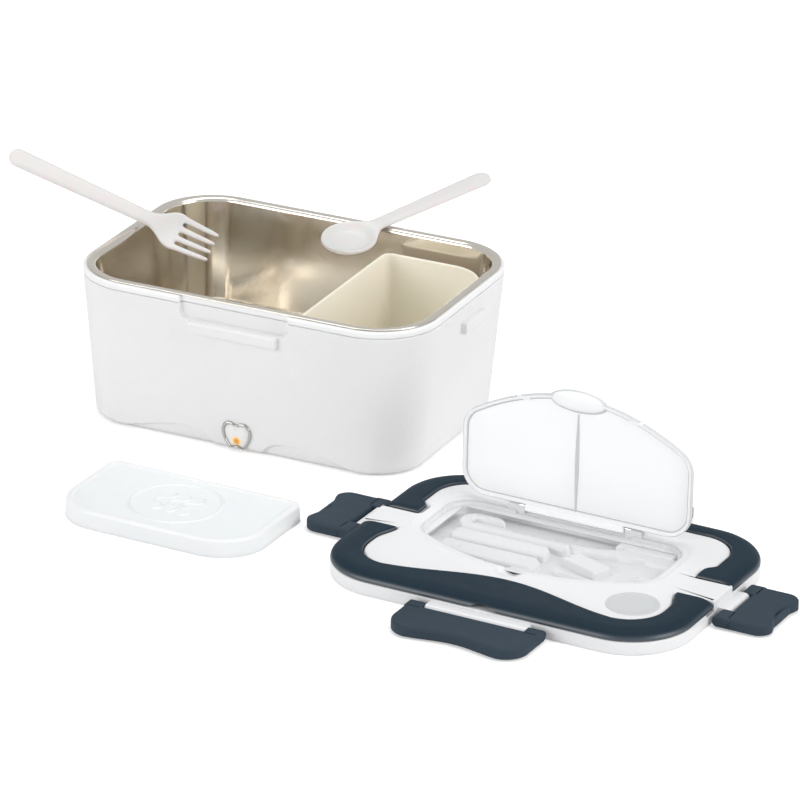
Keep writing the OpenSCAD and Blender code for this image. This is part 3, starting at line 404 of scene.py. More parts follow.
def round_section(corners, radius, steps=5):
    """A closed section with each corner cut to an arc: a quadratic curve from a point short of
    the corner, past it, to a point beyond."""
    c = np.asarray(corners, float)
    before, after = np.roll(c, 1, 0), np.roll(c, -1, 0)
    r = np.broadcast_to(np.asarray(radius, float), len(c))[:, None]
    start = c + (before - c) / np.linalg.norm(before - c, axis=1)[:, None] * r
    end = c + (after - c) / np.linalg.norm(after - c, axis=1)[:, None] * r
    t = np.linspace(0, 1, steps)[None, :, None]
    curve = start[:, None] * (1 - t) ** 2 + 2 * c[:, None] * t * (1 - t) + end[:, None] * t ** 2
    return curve.reshape(-1, 2)


def laid(parts, at=(0, 0), turn=0.0, before=(0, 0, 0)):
    """Skins moved, turned about Z by degrees and moved to their place on the table."""
    c, s = math.cos(math.radians(turn)), math.sin(math.radians(turn))
    moved = []
    for points, faces in parts:
        x, y, z = (points + np.array(before, float)).T
        moved.append((np.column_stack([x * c - y * s + at[0], x * s + y * c + at[1], z]), faces))
    return moved


# catch ledges: their section stands out from the wall, whose draft they follow
ledge_low, ledge_high, ledge_out = 72.1, 7.0, 4.0
ledge = round_section([(2.0, 0), (-ledge_out + 0.6, 0), (-ledge_out, 1.2), (-ledge_out, ledge_high - 0.6),
                       (-ledge_out + 0.8, ledge_high), (2.0, ledge_high)], [0.1, 0.5, 0.6, 0.6, 0.5, 0.1])
ledge_wall = wall_r(ledge_low + ledge_high / 2)
for half, turned, shift, away in ((28.0, 0, 0.0, core_y), (28.0, 180, 0.0, core_y),
                                  (13.5, 90, 5.0, core_x), (13.5, 270, -5.0, core_x)):
    bar = soft_bar(ledge, shift - half, shift + half)
    shell_parts += laid([bar], turn=turned, before=(0, -away - ledge_wall, ledge_low))

shell_white = plastic("shell_grained_white", (0.84, 0.835, 0.838), 0.62, grain=900, depth=1.0, drift=0.02)
piece("shell", shell_parts, shell_white, "base", ["outer_shell"])


# ----------------------------------------
# Top collar: a smooth white ring clipped on the shell's edge, with a fine seam below it. It holds
# the inner housing and is cut away where the latches reach in.
collar_low, collar_top = 88.95, 92.8
collar_in, collar_round = 31.8, 1.3
levels = [(shell_r - 1.2, collar_low, 1), (shell_r - 0.45, collar_low, 1), (shell_r, collar_low + 0.5, 1),
          (shell_r, collar_top - collar_round, 1)]
levels += [(shell_r - collar_round * (1 - math.cos(a)), collar_top - collar_round * (1 - math.sin(a)), 1)
           for a in np.radians([22, 45, 68, 90])]
levels += [(shell_r - 2.6, collar_top, 1), (collar_in + 0.5, collar_top, 0),
           (collar_in, collar_top - 0.5, 0), (collar_in, collar_low, 0)]
collar_white = plastic("collar_smooth_white", (0.88, 0.88, 0.88), 0.38, grain=900, depth=0.05, drift=0.015)
piece("collar", [skin(base_levels(levels, arches=False), close=True)], collar_white, "base",
      ["top_collar"])


# ----------------------------------------
# Steel tray: deep-drawn stainless sheet, 0.8 mm, polished inside, with a flat flange that lies on
# the collar. Drawing leaves a soft roll at the flange and a large radius at the floor.
flange_top, sheet_t = 93.9, 0.8
flange_r, mouth_r, floor_r = 37.0, 31.2, 25.4
floor_z = 23.7
roll_r, floor_fillet = 2.6, 9.0


def ramp(tree, stops):
    """A colour ramp with its stops, each a position and a colour."""
    node = add(tree, "ShaderNodeValToRGB")
    elements = node.color_ramp.elements
    while len(elements) < len(stops):
        elements.new(0.5)
    for element, (spot, colour) in zip(elements, stops):
        element.position, element.color = spot, (*colour, 1)
    return node


def build_drawn_steel():
    """Polished drawn sheet: fine vertical drawing lines in its gloss, cloudy handling marks, and a
    faint warm and cool drift of its colour."""
    g = bpy.data.node_groups.new("drawn_steel", "ShaderNodeTree")
    gin, gout = group_sockets(
        g, [("Colour", "c", (0.7, 0.7, 0.7, 1)), ("Gloss", "f", 0.2), ("Lines", "f", 0.1)])
    at = add(g, "ShaderNodeTexCoord")
    squash = add(g, "ShaderNodeMapping", Scale=(1, 1, 0.03))
    lines = add(g, "ShaderNodeTexNoise", Scale=900.0, Detail=2.0)
    cloud = add(g, "ShaderNodeTexNoise", Scale=25.0, Detail=5.0, Roughness=0.6)
    bump = add(g, "ShaderNodeBump", Distance=0.0001)
    vary = add(g, "ShaderNodeMapRange", **{"From Min": 0.3, "From Max": 0.7, "To Min": -0.05,
                                          "To Max": 0.09})
    gloss = add(g, "ShaderNodeMath", operation="ADD", use_clamp=True)
    tint = add(g, "ShaderNodeMix", 1.0, data_type="RGBA", blend_type="MULTIPLY")
    warm = ramp(g, ((0.3, (1.0, 0.97, 0.92)), (0.7, (0.97, 0.99, 1.0))))
    link(g, (at, "Object", squash, "Vector"), (squash, 0, lines, "Vector"),
         (at, "Object", cloud, "Vector"), (lines, 0, bump, "Height"), (gin, "Lines", bump, "Strength"),
         (cloud, 0, vary, "Value"), (vary, 0, gloss, 0), (gin, "Gloss", gloss, 1), (cloud, 0, warm, 0),
         (warm, 0, tint, 7), (gin, "Colour", tint, 6), (tint, 2, gout, "Colour"),
         (gloss, 0, gout, "Roughness"), (bump, 0, gout, "Normal"))
    return g


drawn_steel = build_drawn_steel()


def metal(name, colour, gloss, lines=0.1, **sockets):
    """Drawn or polished metal of a colour and gloss; lines is how deep its drawing lines are."""
    values = {"Colour": (*colour, 1), "Gloss": gloss, "Lines": lines}
    return finished(name, drawn_steel, values, {"Metallic": 1.0, **sockets})


def shrunk(row, factors, z, middle=np.zeros(2)):
    """Copies of a row drawn in toward a middle by each factor, at one height."""
    return [level(middle + (row[:, :2] - middle) * k, z) for k in factors]


core, outward = core_ring(np.linspace(-72, 72, 49), np.linspace(-39, 39, 25), corner=32)
on_front = np.zeros(len(core))
quarter = np.radians(np.linspace(0, 90, 9))
wall_lean = (mouth_r - floor_r) / (flange_top - floor_z)
outside = [(flange_r - 0.4, flange_top - sheet_t), (flange_r, flange_top - sheet_t / 2),
           (flange_r - 0.12, flange_top - 0.12), (flange_r - 0.5, flange_top)]
inside = [(mouth_r + roll_r + 2.0, flange_top), (mouth_r + roll_r + 1.0, flange_top)]
inside += [(mouth_r + roll_r * (1 - math.sin(a)), flange_top - roll_r * (1 - math.cos(a))) for a in quarter]
inside += [(mouth_r - wall_lean * d, flange_top - d) for d in np.linspace(6, 56, 9)]
low_r = floor_r + wall_lean * floor_fillet
inside += [(low_r - floor_fillet * (1 - math.cos(a)), floor_z + floor_fillet * (1 - math.sin(a)))
           for a in quarter]
under = [(r + sheet_t * 0.9, z - sheet_t * 0.4) for r, z in inside[3:]]
path = [(r, z, 0) for r, z in under[::-1] + outside + inside]
rows = base_levels(path, arches=False)
floor_steps = (0.9, 0.7, 0.45, 0.2)
rows = shrunk(rows[0], floor_steps, floor_z - sheet_t)[::-1] + rows + shrunk(rows[-1], floor_steps, floor_z)
# the steel's colour is warmer than plain stainless: a painted reflection of warm food in the tray
tray_steel = metal("tray_polished_steel", (0.80, 0.765, 0.71), 0.15, lines=0.1)
piece("tray", [skin(rows, ends=True)], tray_steel, "tray", ["steel_tray"], sharp=50)


# ----------------------------------------
# Inner container: cream polypropylene tub, straight toward the tray's middle and round at the
# tray's end. It stands loose on the tray's floor; its rim is a plain rounded edge.
cont_l, cont_w, cont_r, cont_back_r = 122.0, 71.0, 26.0, 6.0
cont_at = (65.5, 0.0)
cont_low, cont_top, cont_t, cont_lean = 24.0, 84.0, 1.8, 3.0
cont_edge, cont_fillet = 0.9, 3.2


def d_ring(across=30, corner=18):
    """Points and outward directions round the D-shaped plan: two large corners on the +X side, two
    small ones on the other, straights between. A smaller level is point - inset * direction."""
    spots, ways = [], []
    knees = ((cont_w / 2 - cont_r, -cont_l / 2 + cont_r, cont_r, -90),
             (cont_w / 2 - cont_r, cont_l / 2 - cont_r, cont_r, 0),
             (-cont_w / 2 + cont_back_r, cont_l / 2 - cont_back_r, cont_back_r, 90),
             (-cont_w / 2 + cont_back_r, -cont_l / 2 + cont_back_r, cont_back_r, 180))
    for k, (x, y, r, first) in enumerate(knees):
        way = toward(np.radians(first + np.linspace(0, 90, corner)))
        spots.append(np.array([x, y]) + r * way)
        ways.append(way)
        x2, y2, r2, first2 = knees[(k + 1) % 4]
        end = np.array([x2, y2]) + r2 * toward(math.radians(first2))
        t = np.linspace(0, 1, across + 2)[1:-1, None]
        spots.append(spots[-1][-1] * (1 - t) + end * t)
        ways.append(np.repeat(way[-1:], across, 0))
    return np.concatenate(spots), np.concatenate(ways)


d_spot, d_way = d_ring()


def inset_rows(line, way, levels):
    """Rows of a closed line moved inward, from (inset, height) levels."""
    return [level(line - inset * way, z) for inset, z in levels]


def lean_at(z):
    """Inset of the container's outer wall at a height."""
    return cont_lean * (cont_top - z) / (cont_top - cont_low)


half_turn = np.radians(np.linspace(0, 180, 9))
levels = [(lean_at(cont_low) + 1.5, cont_low), (lean_at(cont_low + 0.5) + 0.4, cont_low + 0.3)]
levels += [(lean_at(z), z) for z in np.linspace(cont_low + 1.5, cont_top - 1.2, 14)]
levels += [(cont_t / 2 * (1 - math.cos(a)), cont_top - cont_edge * (1 - math.sin(a))) for a in half_turn]
levels += [(lean_at(z) + cont_t, z) for z in np.linspace(cont_top - 2, cont_low + 8, 12)]
low_inset = lean_at(cont_low + 6) + cont_t
levels += [(low_inset + cont_fillet * (1 - math.cos(a)), cont_low + 5 - cont_fillet * math.sin(a))
           for a in quarter]
rows = inset_rows(d_spot, d_way, levels)
rows = shrunk(rows[0], (0.3, 0.7), cont_low) + rows + shrunk(rows[-1], (0.88, 0.6, 0.3), cont_low + cont_t)
cream = plastic("container_cream", (0.90, 0.855, 0.74), 0.34, grain=1200, depth=0.06, drift=0.03,
                Subsurface_Weight=0.12, Subsurface_Scale=0.004)
piece("container", laid([skin(rows, ends=True)], cont_at), cream, "container", ["inner_container"])


# ----------------------------------------
# Lid of the container: soft white snap-on cap with a raised rim band and a sunken panel. The panel
# carries a generic embossed ring with three waves of steam. It lies on the table in front.
clid_panel, clid_rim, clid_over, clid_emboss = 9.7, 4.6, 1.9, 0.62
clid_at, clid_turn = (13.5, -174.5), -2.2 - 90


def steam(x, y):
    """Emboss height: a ring of radius 26.4, and three rows of three half circles that alternate up
    and down, each a soft ridge over its distance to the line."""
    ring = np.exp(-((np.hypot(x, y) - 26.4) / 0.55) ** 2)
    r = 4.2
    waves = np.zeros_like(x)
    for row in (-9.0, 0.0, 9.0):
        for k in (-1, 0, 1):
            dx, dy = x - 2 * r * k, y - row
            above = (dy >= 0) if k != 0 else (dy <= 0)
            on_arc = np.abs(np.hypot(dx, dy) - r)
            on_tip = np.hypot(np.abs(dx) - r, dy)
            waves = np.maximum(waves, np.exp(-(np.where(above, on_arc, on_tip) / 0.5) ** 2))
    return np.maximum(ring, waves)


d_spot, d_way = d_ring(across=84, corner=44)
levels = [(1.6, 0.0), (0.3, 0.0), (0.0, 0.4), (0.15, 3.0), (0.35, 6.0), (0.5, 8.6)]
levels += [(0.5 + 1.9 * (1 - math.cos(a)), 8.6 + 1.9 * math.sin(a)) for a in quarter]
levels += [(3.6, 10.5), (clid_rim - 0.35, 10.48), (clid_rim - 0.12, 10.38), (clid_rim, 10.15),
           (clid_rim + 0.15, 9.8), (clid_rim + 0.4, clid_panel), (clid_rim + 1.0, clid_panel)]
rows = inset_rows(d_spot + clid_over * d_way, d_way, levels)
panel = rows[-1][:, :2]
for k in np.linspace(1, 0, 112)[1:-1]:
    flat = panel * k
    rows.append(level(flat, clid_panel + clid_emboss * steam(flat[:, 0], flat[:, 1])))
under = inset_rows(d_spot + clid_over * d_way, d_way, [(1.6, 8.4), (2.4, 8.9)])
rows = shrunk(under[-1], (0.3, 0.7), 8.9) + under[::-1] + rows
soft_white = plastic("cap_soft_white", (0.84, 0.845, 0.85), 0.36, grain=1400, depth=0.06, drift=0.02,
                     Subsurface_Weight=0.15, Subsurface_Scale=0.003)
piece("container_cap", laid([skin(rows, ends=True)], clid_at, clid_turn), soft_white,
      "container_lid", ["container_lid"], sharp=60)


# ----------------------------------------
# Fork and spoon: thin translucent white travel cutlery, moulded in one piece, resting on the
# tray's flange with their heads inside and their handles out over the edge.
cut_out, cut_t = 89.0, 2.0
neck, handle_rise = 4.2, 1.5


def placed(points, at, yaw, pitch, roll, lift):
    """Cutlery frame to the table's: roll about its own length, lift, pitch its tip down, turn, move."""
    yaw, pitch, roll = np.radians([yaw, pitch, roll])
    p = np.asarray(points, float)
    y = p[:, 1] * np.cos(roll) - p[:, 2] * np.sin(roll)
    z = p[:, 1] * np.sin(roll) + p[:, 2] * np.cos(roll) + lift
    x = p[:, 0] * np.cos(pitch) + z * np.sin(pitch)
    z = -p[:, 0] * np.sin(pitch) + z * np.cos(pitch)
    return np.column_stack([x * np.cos(yaw) - y * np.sin(yaw) + at[0],
                            x * np.sin(yaw) + y * np.cos(yaw) + at[1], z + at[2]])


def handle_half(x):
    """Half width of the handle: 5.6 mm near its far end with a round tip, 4.2 mm at the neck."""
    taper = np.interp(x, [-84, 0, 5], [5.6, neck, neck + 0.6])
    tip = np.clip((x + cut_out) / 5.0, 0, 1)
    return taper * np.sqrt(np.clip(1 - (1 - tip) ** 2, 0, 1))


def crowned(x, y, half):
    """Rise of the handle's middle over its edges, which turn down like a shallow channel; it fades
    out where the head begins."""
    return handle_rise * smooth((1 - np.abs(y) / np.maximum(half, 0.1)) / 0.24) * smooth((16 - x) / 14)


def grid_cells(shape):
    """Quads of a grid of points with the given rows and columns, as four corner numbers each."""
    grid = np.arange(shape[0] * shape[1]).reshape(shape[:2])
    return np.stack([grid[:-1, :-1], grid[1:, :-1], grid[1:, 1:], grid[:-1, 1:]], -1)


far_end = -cut_out + 5 * (1 - np.cos(np.linspace(0.12, np.pi / 2, 6)))
handle_x = np.concatenate([[-cut_out], far_end, np.linspace(-80, 0, 22)])
xs = np.concatenate([handle_x, [4, 8, 12, 15, 17.5, 19.2, 20.8, 24, 28, 32, 36, 39.5, 42, 43.0]])
head = np.interp(xs, [0, 4, 8, 12, 15, 19, 43], [neck, 4.7, 7.0, 10.2, 12.0, 12.6, 12.6])
half = np.where(xs < 2, handle_half(xs), head)
tine_step, tine_half = 6.6, 2.0
tine = np.interp(xs, [20, 38, 41.5, 43], [tine_half, 1.5, 1.2, 0.5])
middle = np.interp(xs, [20, 43], [tine_step, 5.8])
columns = []
for k in (-1.5, -0.5, 0.5, 1.5):
    for side in (-1, 0, 1):
        split = (k * tine_step + side * tine_half) / (1.5 * tine_step + tine_half)
        columns.append(np.where(xs > 20, k * middle + side * tine, split * half))
ys = np.array(columns).T
x2 = np.broadcast_to(xs[:, None], ys.shape)
dip = 1.6 * (ys / 12.5) ** 2 - 1.2 * np.sin(np.clip((x2 - 2) / 41, 0, 1) * np.pi)
flat_grid = np.stack([x2, ys, cut_t / 2 + dip * smooth(x2 / 12) + crowned(x2, ys, half[:, None])], -1)
open_slot = (xs[:-1, None] > 20) & (np.arange(ys.shape[1] - 1)[None, :] % 3 == 2)
fork_faces = grid_cells(ys.shape)[~open_slot].tolist()

bowl_mid, bowl_a, bowl_b, bowl_sag = 25.0, 18.0, 15.0, 4.0
tip_turn = np.linspace(0.0, np.pi / 2, 12)
sx = np.concatenate([handle_x, [3, 6, 9, 12, 15, 18, 21, 25], (bowl_mid + bowl_a * np.sin(tip_turn))[1:]])
sx[-1] -= 0.05
bowl = bowl_b * np.sqrt(np.clip(1 - ((sx - bowl_mid) / bowl_a) ** 2, 0.0001, 1))
blend = np.interp(sx, [0, 3, 6, 9, 12, 15, 18], [neck, 4.5, 5.9, 8.2, 10.7, 12.7, 13.9])
s_half = np.where(sx < 2, handle_half(sx), np.where(sx < 18, blend, bowl))
across = np.sin(np.linspace(-np.pi / 2, np.pi / 2, 13))
sy = s_half[:, None] * across[None, :]
x2 = np.broadcast_to(sx[:, None], sy.shape)
inside_bowl = np.clip(1 - ((x2 - bowl_mid) / bowl_a) ** 2 - (sy / bowl_b) ** 2, 0, 1)
spoon_grid = np.stack([x2, sy, cut_t / 2 - bowl_sag * smooth(inside_bowl * 1.6)
                       + crowned(x2, sy, s_half[:, None])], -1)
spoon_faces = grid_cells(sy.shape).reshape(-1, 4).tolist()
cut_white = plastic("cutlery_white", (0.71, 0.705, 0.695), 0.34, grain=700, depth=0.05, drift=0.03,
                    Subsurface_Weight=0.35, Subsurface_Scale=0.004)
# turned, pitched and rolled in degrees; the lower edge of the neck clears the flange by 0.3 mm
for node, grid, faces, at, yaw, pitch, roll in (
        ("fork", flat_grid, fork_faces, (-105.0, 12.0, flange_top), 16, 22, 40),
        ("spoon", spoon_grid, spoon_faces, (21.0, 71.5, flange_top), -111, 5, -13)):
    lift = 0.3 + neck * math.sin(math.radians(abs(roll)))
    points = placed(grid.reshape(-1, 3), at, yaw, pitch, roll, lift)
    plate = piece(node + "_piece", [(points, faces)], cut_white, node, [node], sharp=80)
    wall = plate.modifiers.new("wall", "SOLIDIFY")
    wall.thickness = cut_t * 0.001
    wall.offset = 0
    soften = plate.modifiers.new("soften", "SUBSURF")
    soften.levels = soften.render_levels = 2


# ----------------------------------------
# Indicator: a small shield-shaped window at the foot of the front, a chromed bezel ring round a
# milky lens, with an amber lamp behind its lower part.
bezel_z = 9.7
bezel_outer = [(0, 7.6), (2.5, 8.8), (5.8, 8.9), (8.5, 6.8), (9.6, 3.2), (9.2, 0.1), (8.1, -3.0),
               (6.5, -5.7), (4.7, -7.9), (3.5, -8.3), (1.8, -7.4), (0, -6.9)]
bezel_inner = [(0, 6.1), (2.4, 7.0), (5.0, 7.0), (7.1, 5.4), (7.9, 3.0), (7.6, 0.2), (6.5, -2.8),
               (5.1, -5.2), (4.0, -6.8), (3.2, -7.1), (1.8, -6.4), (0, -5.9)]


def both_halves(half):
    """A half outline and its mirror image, one closed line against the clock's hands."""
    return np.concatenate([half, (half * [-1, 1])[::-1][1:-1]])


def closed_curve(half):
    """Smooth closed line through points and their mirror images: between two points each cubic
    keeps the direction given by their neighbours."""
    p = both_halves(np.asarray(half, float))
    before, after, far = np.roll(p, 1, 0), np.roll(p, -1, 0), np.roll(p, -2, 0)
    t = np.linspace(0, 1, 10, endpoint=False)[None, :, None]
    a, b, c, d = before[:, None], p[:, None], after[:, None], far[:, None]
    line = b + 0.5 * t * (c - a + t * (2 * a - 5 * b + 4 * c - d + t * (3 * (b - c) + d - a)))
    return line.reshape(-1, 2)


def at_window(points):
    """Window frame (right, up, out) to the table's, on the leaning front wall."""
    p = np.asarray(points, float)
    c, s = math.cos(shell_slope), math.sin(shell_slope)
    y = -(core_y + wall_r(bezel_z))
    return np.column_stack([p[:, 0], y - p[:, 1] * s - p[:, 2] * c, bezel_z + p[:, 1] * c - p[:, 2] * s])


outer_edge, inner_edge = closed_curve(bezel_outer), closed_curve(bezel_inner)
rows = []
for part, z in ((0.0, -0.4), (0.0, 0.6), (0.08, 1.0), (0.25, 1.3), (0.5, 1.4), (0.75, 1.25),
                (0.93, 0.9), (1.0, 0.4), (1.0, -0.4)):
    rows.append(level(outer_edge * (1 - part) + inner_edge * part, z))
points, faces = skin(rows, close=True)
chrome = metal("bezel_chrome", (0.50, 0.49, 0.475), 0.14, lines=0.02)
piece("bezel", [(at_window(points), faces)], chrome, "base", ["indicator_bezel"], sharp=60)

rows = shrunk(inner_edge, (0.5, 0.99), -1.5)
for k in (0.99, 0.96, 0.9, 0.8, 0.65, 0.45, 0.25):
    rows += shrunk(inner_edge, (k,), 0.9 - 0.9 * k ** 4)
points, faces = skin(rows, ends=True)
lens = plastic("lens_milky", (0.86, 0.86, 0.855), 0.12, grain=600, depth=0.03, drift=0.02, Coat_Weight=0.6)
tree = lens.node_tree
shader = tree.nodes["Principled BSDF"]
at = add(tree, "ShaderNodeTexCoord")
lamp_spot = at_window([(0.0, -3.0, 0.8)])[0] * 0.001
centre = add(tree, "ShaderNodeMapping", Location=tuple(-lamp_spot))
away = add(tree, "ShaderNodeVectorMath", operation="LENGTH")
glow = add(tree, "ShaderNodeMapRange", interpolation_type="SMOOTHSTEP",
           **{"From Min": 0.0, "From Max": 0.0046, "To Min": 1.0, "To Max": 0.0})
tint = add(tree, "ShaderNodeMix", 1.0, data_type="RGBA", blend_type="MULTIPLY")
halo = ramp(tree, ((0.0, (1.0, 1.0, 1.0)), (0.45, (1.0, 0.80, 0.50)), (0.72, (0.92, 0.42, 0.04)),
                   (1.0, (0.80, 0.28, 0.01))))
shine = ramp(tree, ((0.0, (0, 0, 0)), (0.5, (0.30, 0.20, 0.08)), (1.0, (0.25, 0.08, 0.0))))
milky = shader.inputs["Base Color"].links[0].from_node
link(tree, (at, "Object", centre, "Vector"), (centre, 0, away, 0), (away, "Value", glow, "Value"),
     (glow, 0, halo, 0), (glow, 0, shine, 0), (milky, "Colour", tint, 6), (halo, 0, tint, 7),
     (tint, 2, shader, "Base Color"), (shine, 0, shader, "Emission Color"))
shader.inputs["Emission Strength"].default_value = 0.5
piece("window", [(at_window(points), faces)], lens, "base", ["indicator_lens"], sharp=60)


# ----------------------------------------
# Main lid, white part: outer wall, the raised middle that fills the space inside the slate bands,
# and a bridge at each end. The compartment's opening has a sunken lip for its clear cover.
lid_at, lid_turn = (228.0, -142.5), -2.4
lid_x, lid_y, lid_r = 109.0, 78.5, 38.0
lid_top, band_top = 12.5, 14.0
band_x, band_w = 91.0, 18.0
bridge, flare = 12.0, 5.0
comp_at = np.array([-6.0, 11.0])
comp_half, comp_deep, comp_r, comp_bow = 71.0, 35.5, 16.0, 15.0
hinge_half, hinge_y, hinge_z = 31.0, 49.5, 13.1
rest_z, lip_in = 10.1, 1.1
latch_out, pin_z = 5.0, 4.2
# each latch: side, half length, turn, shift along the side, distance of the side from the lid's
# middle, length of the white knuckle between its ears, and how far it reaches
Spot = namedtuple("Spot", "side half turn shift away lug far")
latch_spots = (Spot("front", 41.0, 0, 0.0, lid_y, 62.0, 33.0),
               Spot("rear", 41.0, 180, 0.0, lid_y, 62.0, 33.0),
               Spot("right", 24.5, 90, 5.0, lid_x, 25.0, 30.0),
               Spot("left", 24.5, 270, -5.0, lid_x, 25.0, 30.0))


def wave_y(x):
    """Front edge of the raised middle: a cosine wave, high at the middle, level past x = 76."""
    return -(53.0 - 7.5 * np.cos(np.pi * np.minimum(1, np.abs(x) / 76)))


def draw_in(y):
    """How far the middle draws in at the ends of the bands: half a cosine, 20 mm long at the front
    band, and 8 mm long but 9 mm further in at the rear one."""
    t = np.clip(np.where(y > 0, (y - bridge - 9) / 8, (-y - bridge) / 20), 0, 1)
    return flare * (1 + np.cos(np.pi * t)) / 2


def arc(cx, cy, r, a0, a1, n):
    """Points along an arc, angles in degrees."""
    return np.array([cx, cy]) + r * toward(np.radians(np.linspace(a0, a1, n)))


def middle_half(grow, with_bridge):
    """Right half of the middle's outline from the front to the back: wave, corner, drawn-in side
    with or without the bridge, corner, straight back. grow moves it outward."""
    r, hx = 22.0, band_x + grow
    yf, yb = wave_y(band_x) - grow, lid_y - band_w + 4 + grow
    xr = hx - r
    xs = np.linspace(0, xr, 40)[:-1]
    front = np.stack([xs, wave_y(xs) - grow], -1)
    low, high = yf + r, yb - r
    edge = bridge + grow
    side_y = np.concatenate([np.linspace(low, -edge - 1.5, 28)[1:], np.linspace(edge + 1.5, high, 28)[:-1]])
    side = np.stack([hx - draw_in(side_y), side_y], -1)
    before, after = side[:27], side[27:]
    span = [before, after]
    if with_bridge:
        knee, out = hx - flare, lid_x - 0.05
        r_in, r_out = 1.5, 0.6
        span = [before, arc(knee + r_in, -edge - r_in, r_in, 180, 90, 6),
                np.linspace((knee + 3, -edge), (out - r_out, -edge), 10),
                arc(out - r_out, -edge + r_out, r_out, -90, 0, 4)[1:],
                np.linspace((out, -edge + 2), (out, edge - 2), 9),
                arc(out - r_out, edge - r_out, r_out, 0, 90, 4)[:-1],
                np.linspace((out - r_out, edge), (knee + 3, edge), 10),
                arc(knee + r_in, edge + r_in, r_in, 270, 180, 6), after]
    back = np.linspace((xr, yb), (0, yb), 24)[1:]
    return np.concatenate([front, arc(xr, low, r, -90, 0, 16)] + span + [arc(xr, high, r, 0, 90, 16), back])


def side_ways(line):
    """Outward direction at each point of a closed line, from its two neighbours."""
    d = np.roll(line, -1, 0) - np.roll(line, 1, 0)
    d = d / np.maximum(np.linalg.norm(d, axis=1), 1e-9)[:, None]
    return np.stack([d[:, 1], -d[:, 0]], -1)


def bowed_line(half, flat_y, far_y, bow, r, count):
    """Outline round circles of one radius: one at each end of the straight side, and a row along a
    parabola. At each direction the circle that reaches farthest gives its own point."""
    t = np.linspace(-1, 1, count)
    row = np.stack([half * t, far_y + bow * t ** 2], -1)
    centres = np.concatenate([[(half, flat_y), (-half, flat_y)], row])
    way = toward(np.linspace(0, 2 * np.pi, 720, endpoint=False))
    best = np.argmax(way @ centres.T + r, 1)
    return centres[best] + r * way


def reach(outline, centre, angles):
    """Distance from a centre to a closed outline at each angle: where the ray crosses an edge,
    solved for all edges at once, the farthest crossing counts."""
    p = outline - centre
    q = np.roll(p, -1, 0)
    e = toward(angles)[:, None, :]
    d = (q - p)[None]
    cross = e[..., 0] * d[..., 1] - e[..., 1] * d[..., 0]
    cross = np.where(np.abs(cross) < 1e-12, 1e-12, cross)
    t = (p[None, :, 0] * d[..., 1] - p[None, :, 1] * d[..., 0]) / cross
    s = (p[None, :, 0] * e[..., 1] - p[None, :, 1] * e[..., 0]) / cross
    ok = (t > 0) & (s >= -1e-9) & (s <= 1 + 1e-9)
    return np.where(ok, t, 0).max(1)


def comp_line(inset):
    """Compartment outline, straight at the hinge side and bowed at the front; inset shrinks it."""
    side_y = comp_deep - comp_r
    return bowed_line(comp_half - comp_r, side_y, -side_y, comp_bow, comp_r - inset, 17) + comp_at


white_line = both_halves(middle_half(0.0, True))
white_way = side_ways(white_line)
angles = np.unwrap(np.arctan2(*(white_line - comp_at).T[::-1]))
spin = toward(angles)
lip_line = comp_at + reach(comp_line(-7.0), comp_at, angles)[:, None] * spin
slot_box = np.array([(-hinge_half, 0.0), (hinge_half, 0.0), (hinge_half, 42.0), (-hinge_half, 42.0)])
open_far = reach(comp_line(-2.6), comp_at, angles)
slot_far = reach(slot_box + comp_at, comp_at, angles)
opening = comp_at + np.maximum(open_far, slot_far * (spin[:, 1] > 0.5))[:, None] * spin
lip_way, open_way = side_ways(lip_line), side_ways(opening)


def rounding(r, top, angles=quarter[1:]):
    """(inset, height) levels of a quarter circle over an upper edge."""
    return [(r * (1 - math.cos(a)), top - r * (1 - math.sin(a))) for a in angles]


def scooped_row(line, z):
    """A row at a height, sunk where the thumb scoop, a sphere of 9 mm, cuts the front of the lip."""
    centre, r2 = comp_at + [0, -comp_deep - 6.0], 81
    d2 = ((line - centre) ** 2).sum(1)
    cut = lid_top + 4.0 - np.sqrt(np.maximum(r2 - d2, 0))
    return level(line, np.where(d2 < r2, np.minimum(z, cut), z))


def between(a, b, share):
    """A line part of the way from one line to another."""
    return a * (1 - share) + b * share


lip_from, lip_z = 0.36, lid_top - lip_in
rows = inset_rows(white_line, white_way, [(0.0, 7.0), (0.0, 9.5), (0.0, lid_top - 1.3)]
                  + rounding(1.3, lid_top) + [(1.9, lid_top)])
start, goal = white_line - white_way * 1.9, lip_line + lip_way * 0.9
rows += [scooped_row(between(start, goal, k), lid_top) for k in (0.25, 0.5, 0.7, 0.8, 0.88, 0.95, 1.0)]
rows += [scooped_row(lip_line + lip_way * out, lid_top - sunk)
         for out, sunk in ((0.5, 0.04), (0.2, 0.16), (-0.1, lip_from))]
start, goal = lip_line - lip_way * 0.3, opening + open_way * 0.5
rows += [scooped_row(between(start, goal, k), between(lid_top - lip_from, lip_z, k))
         for k in (0.3, 0.6, 0.85)]
rows += [scooped_row(opening + open_way * out, z) for out, z in (
    (0.5, lip_z), (0.2, lip_z - 0.1), (0.03, lip_z - 0.35), (0.0, lip_z - 0.8), (0.0, 9.0), (0.3, 7.6))]
lid_parts = [skin(rows)]

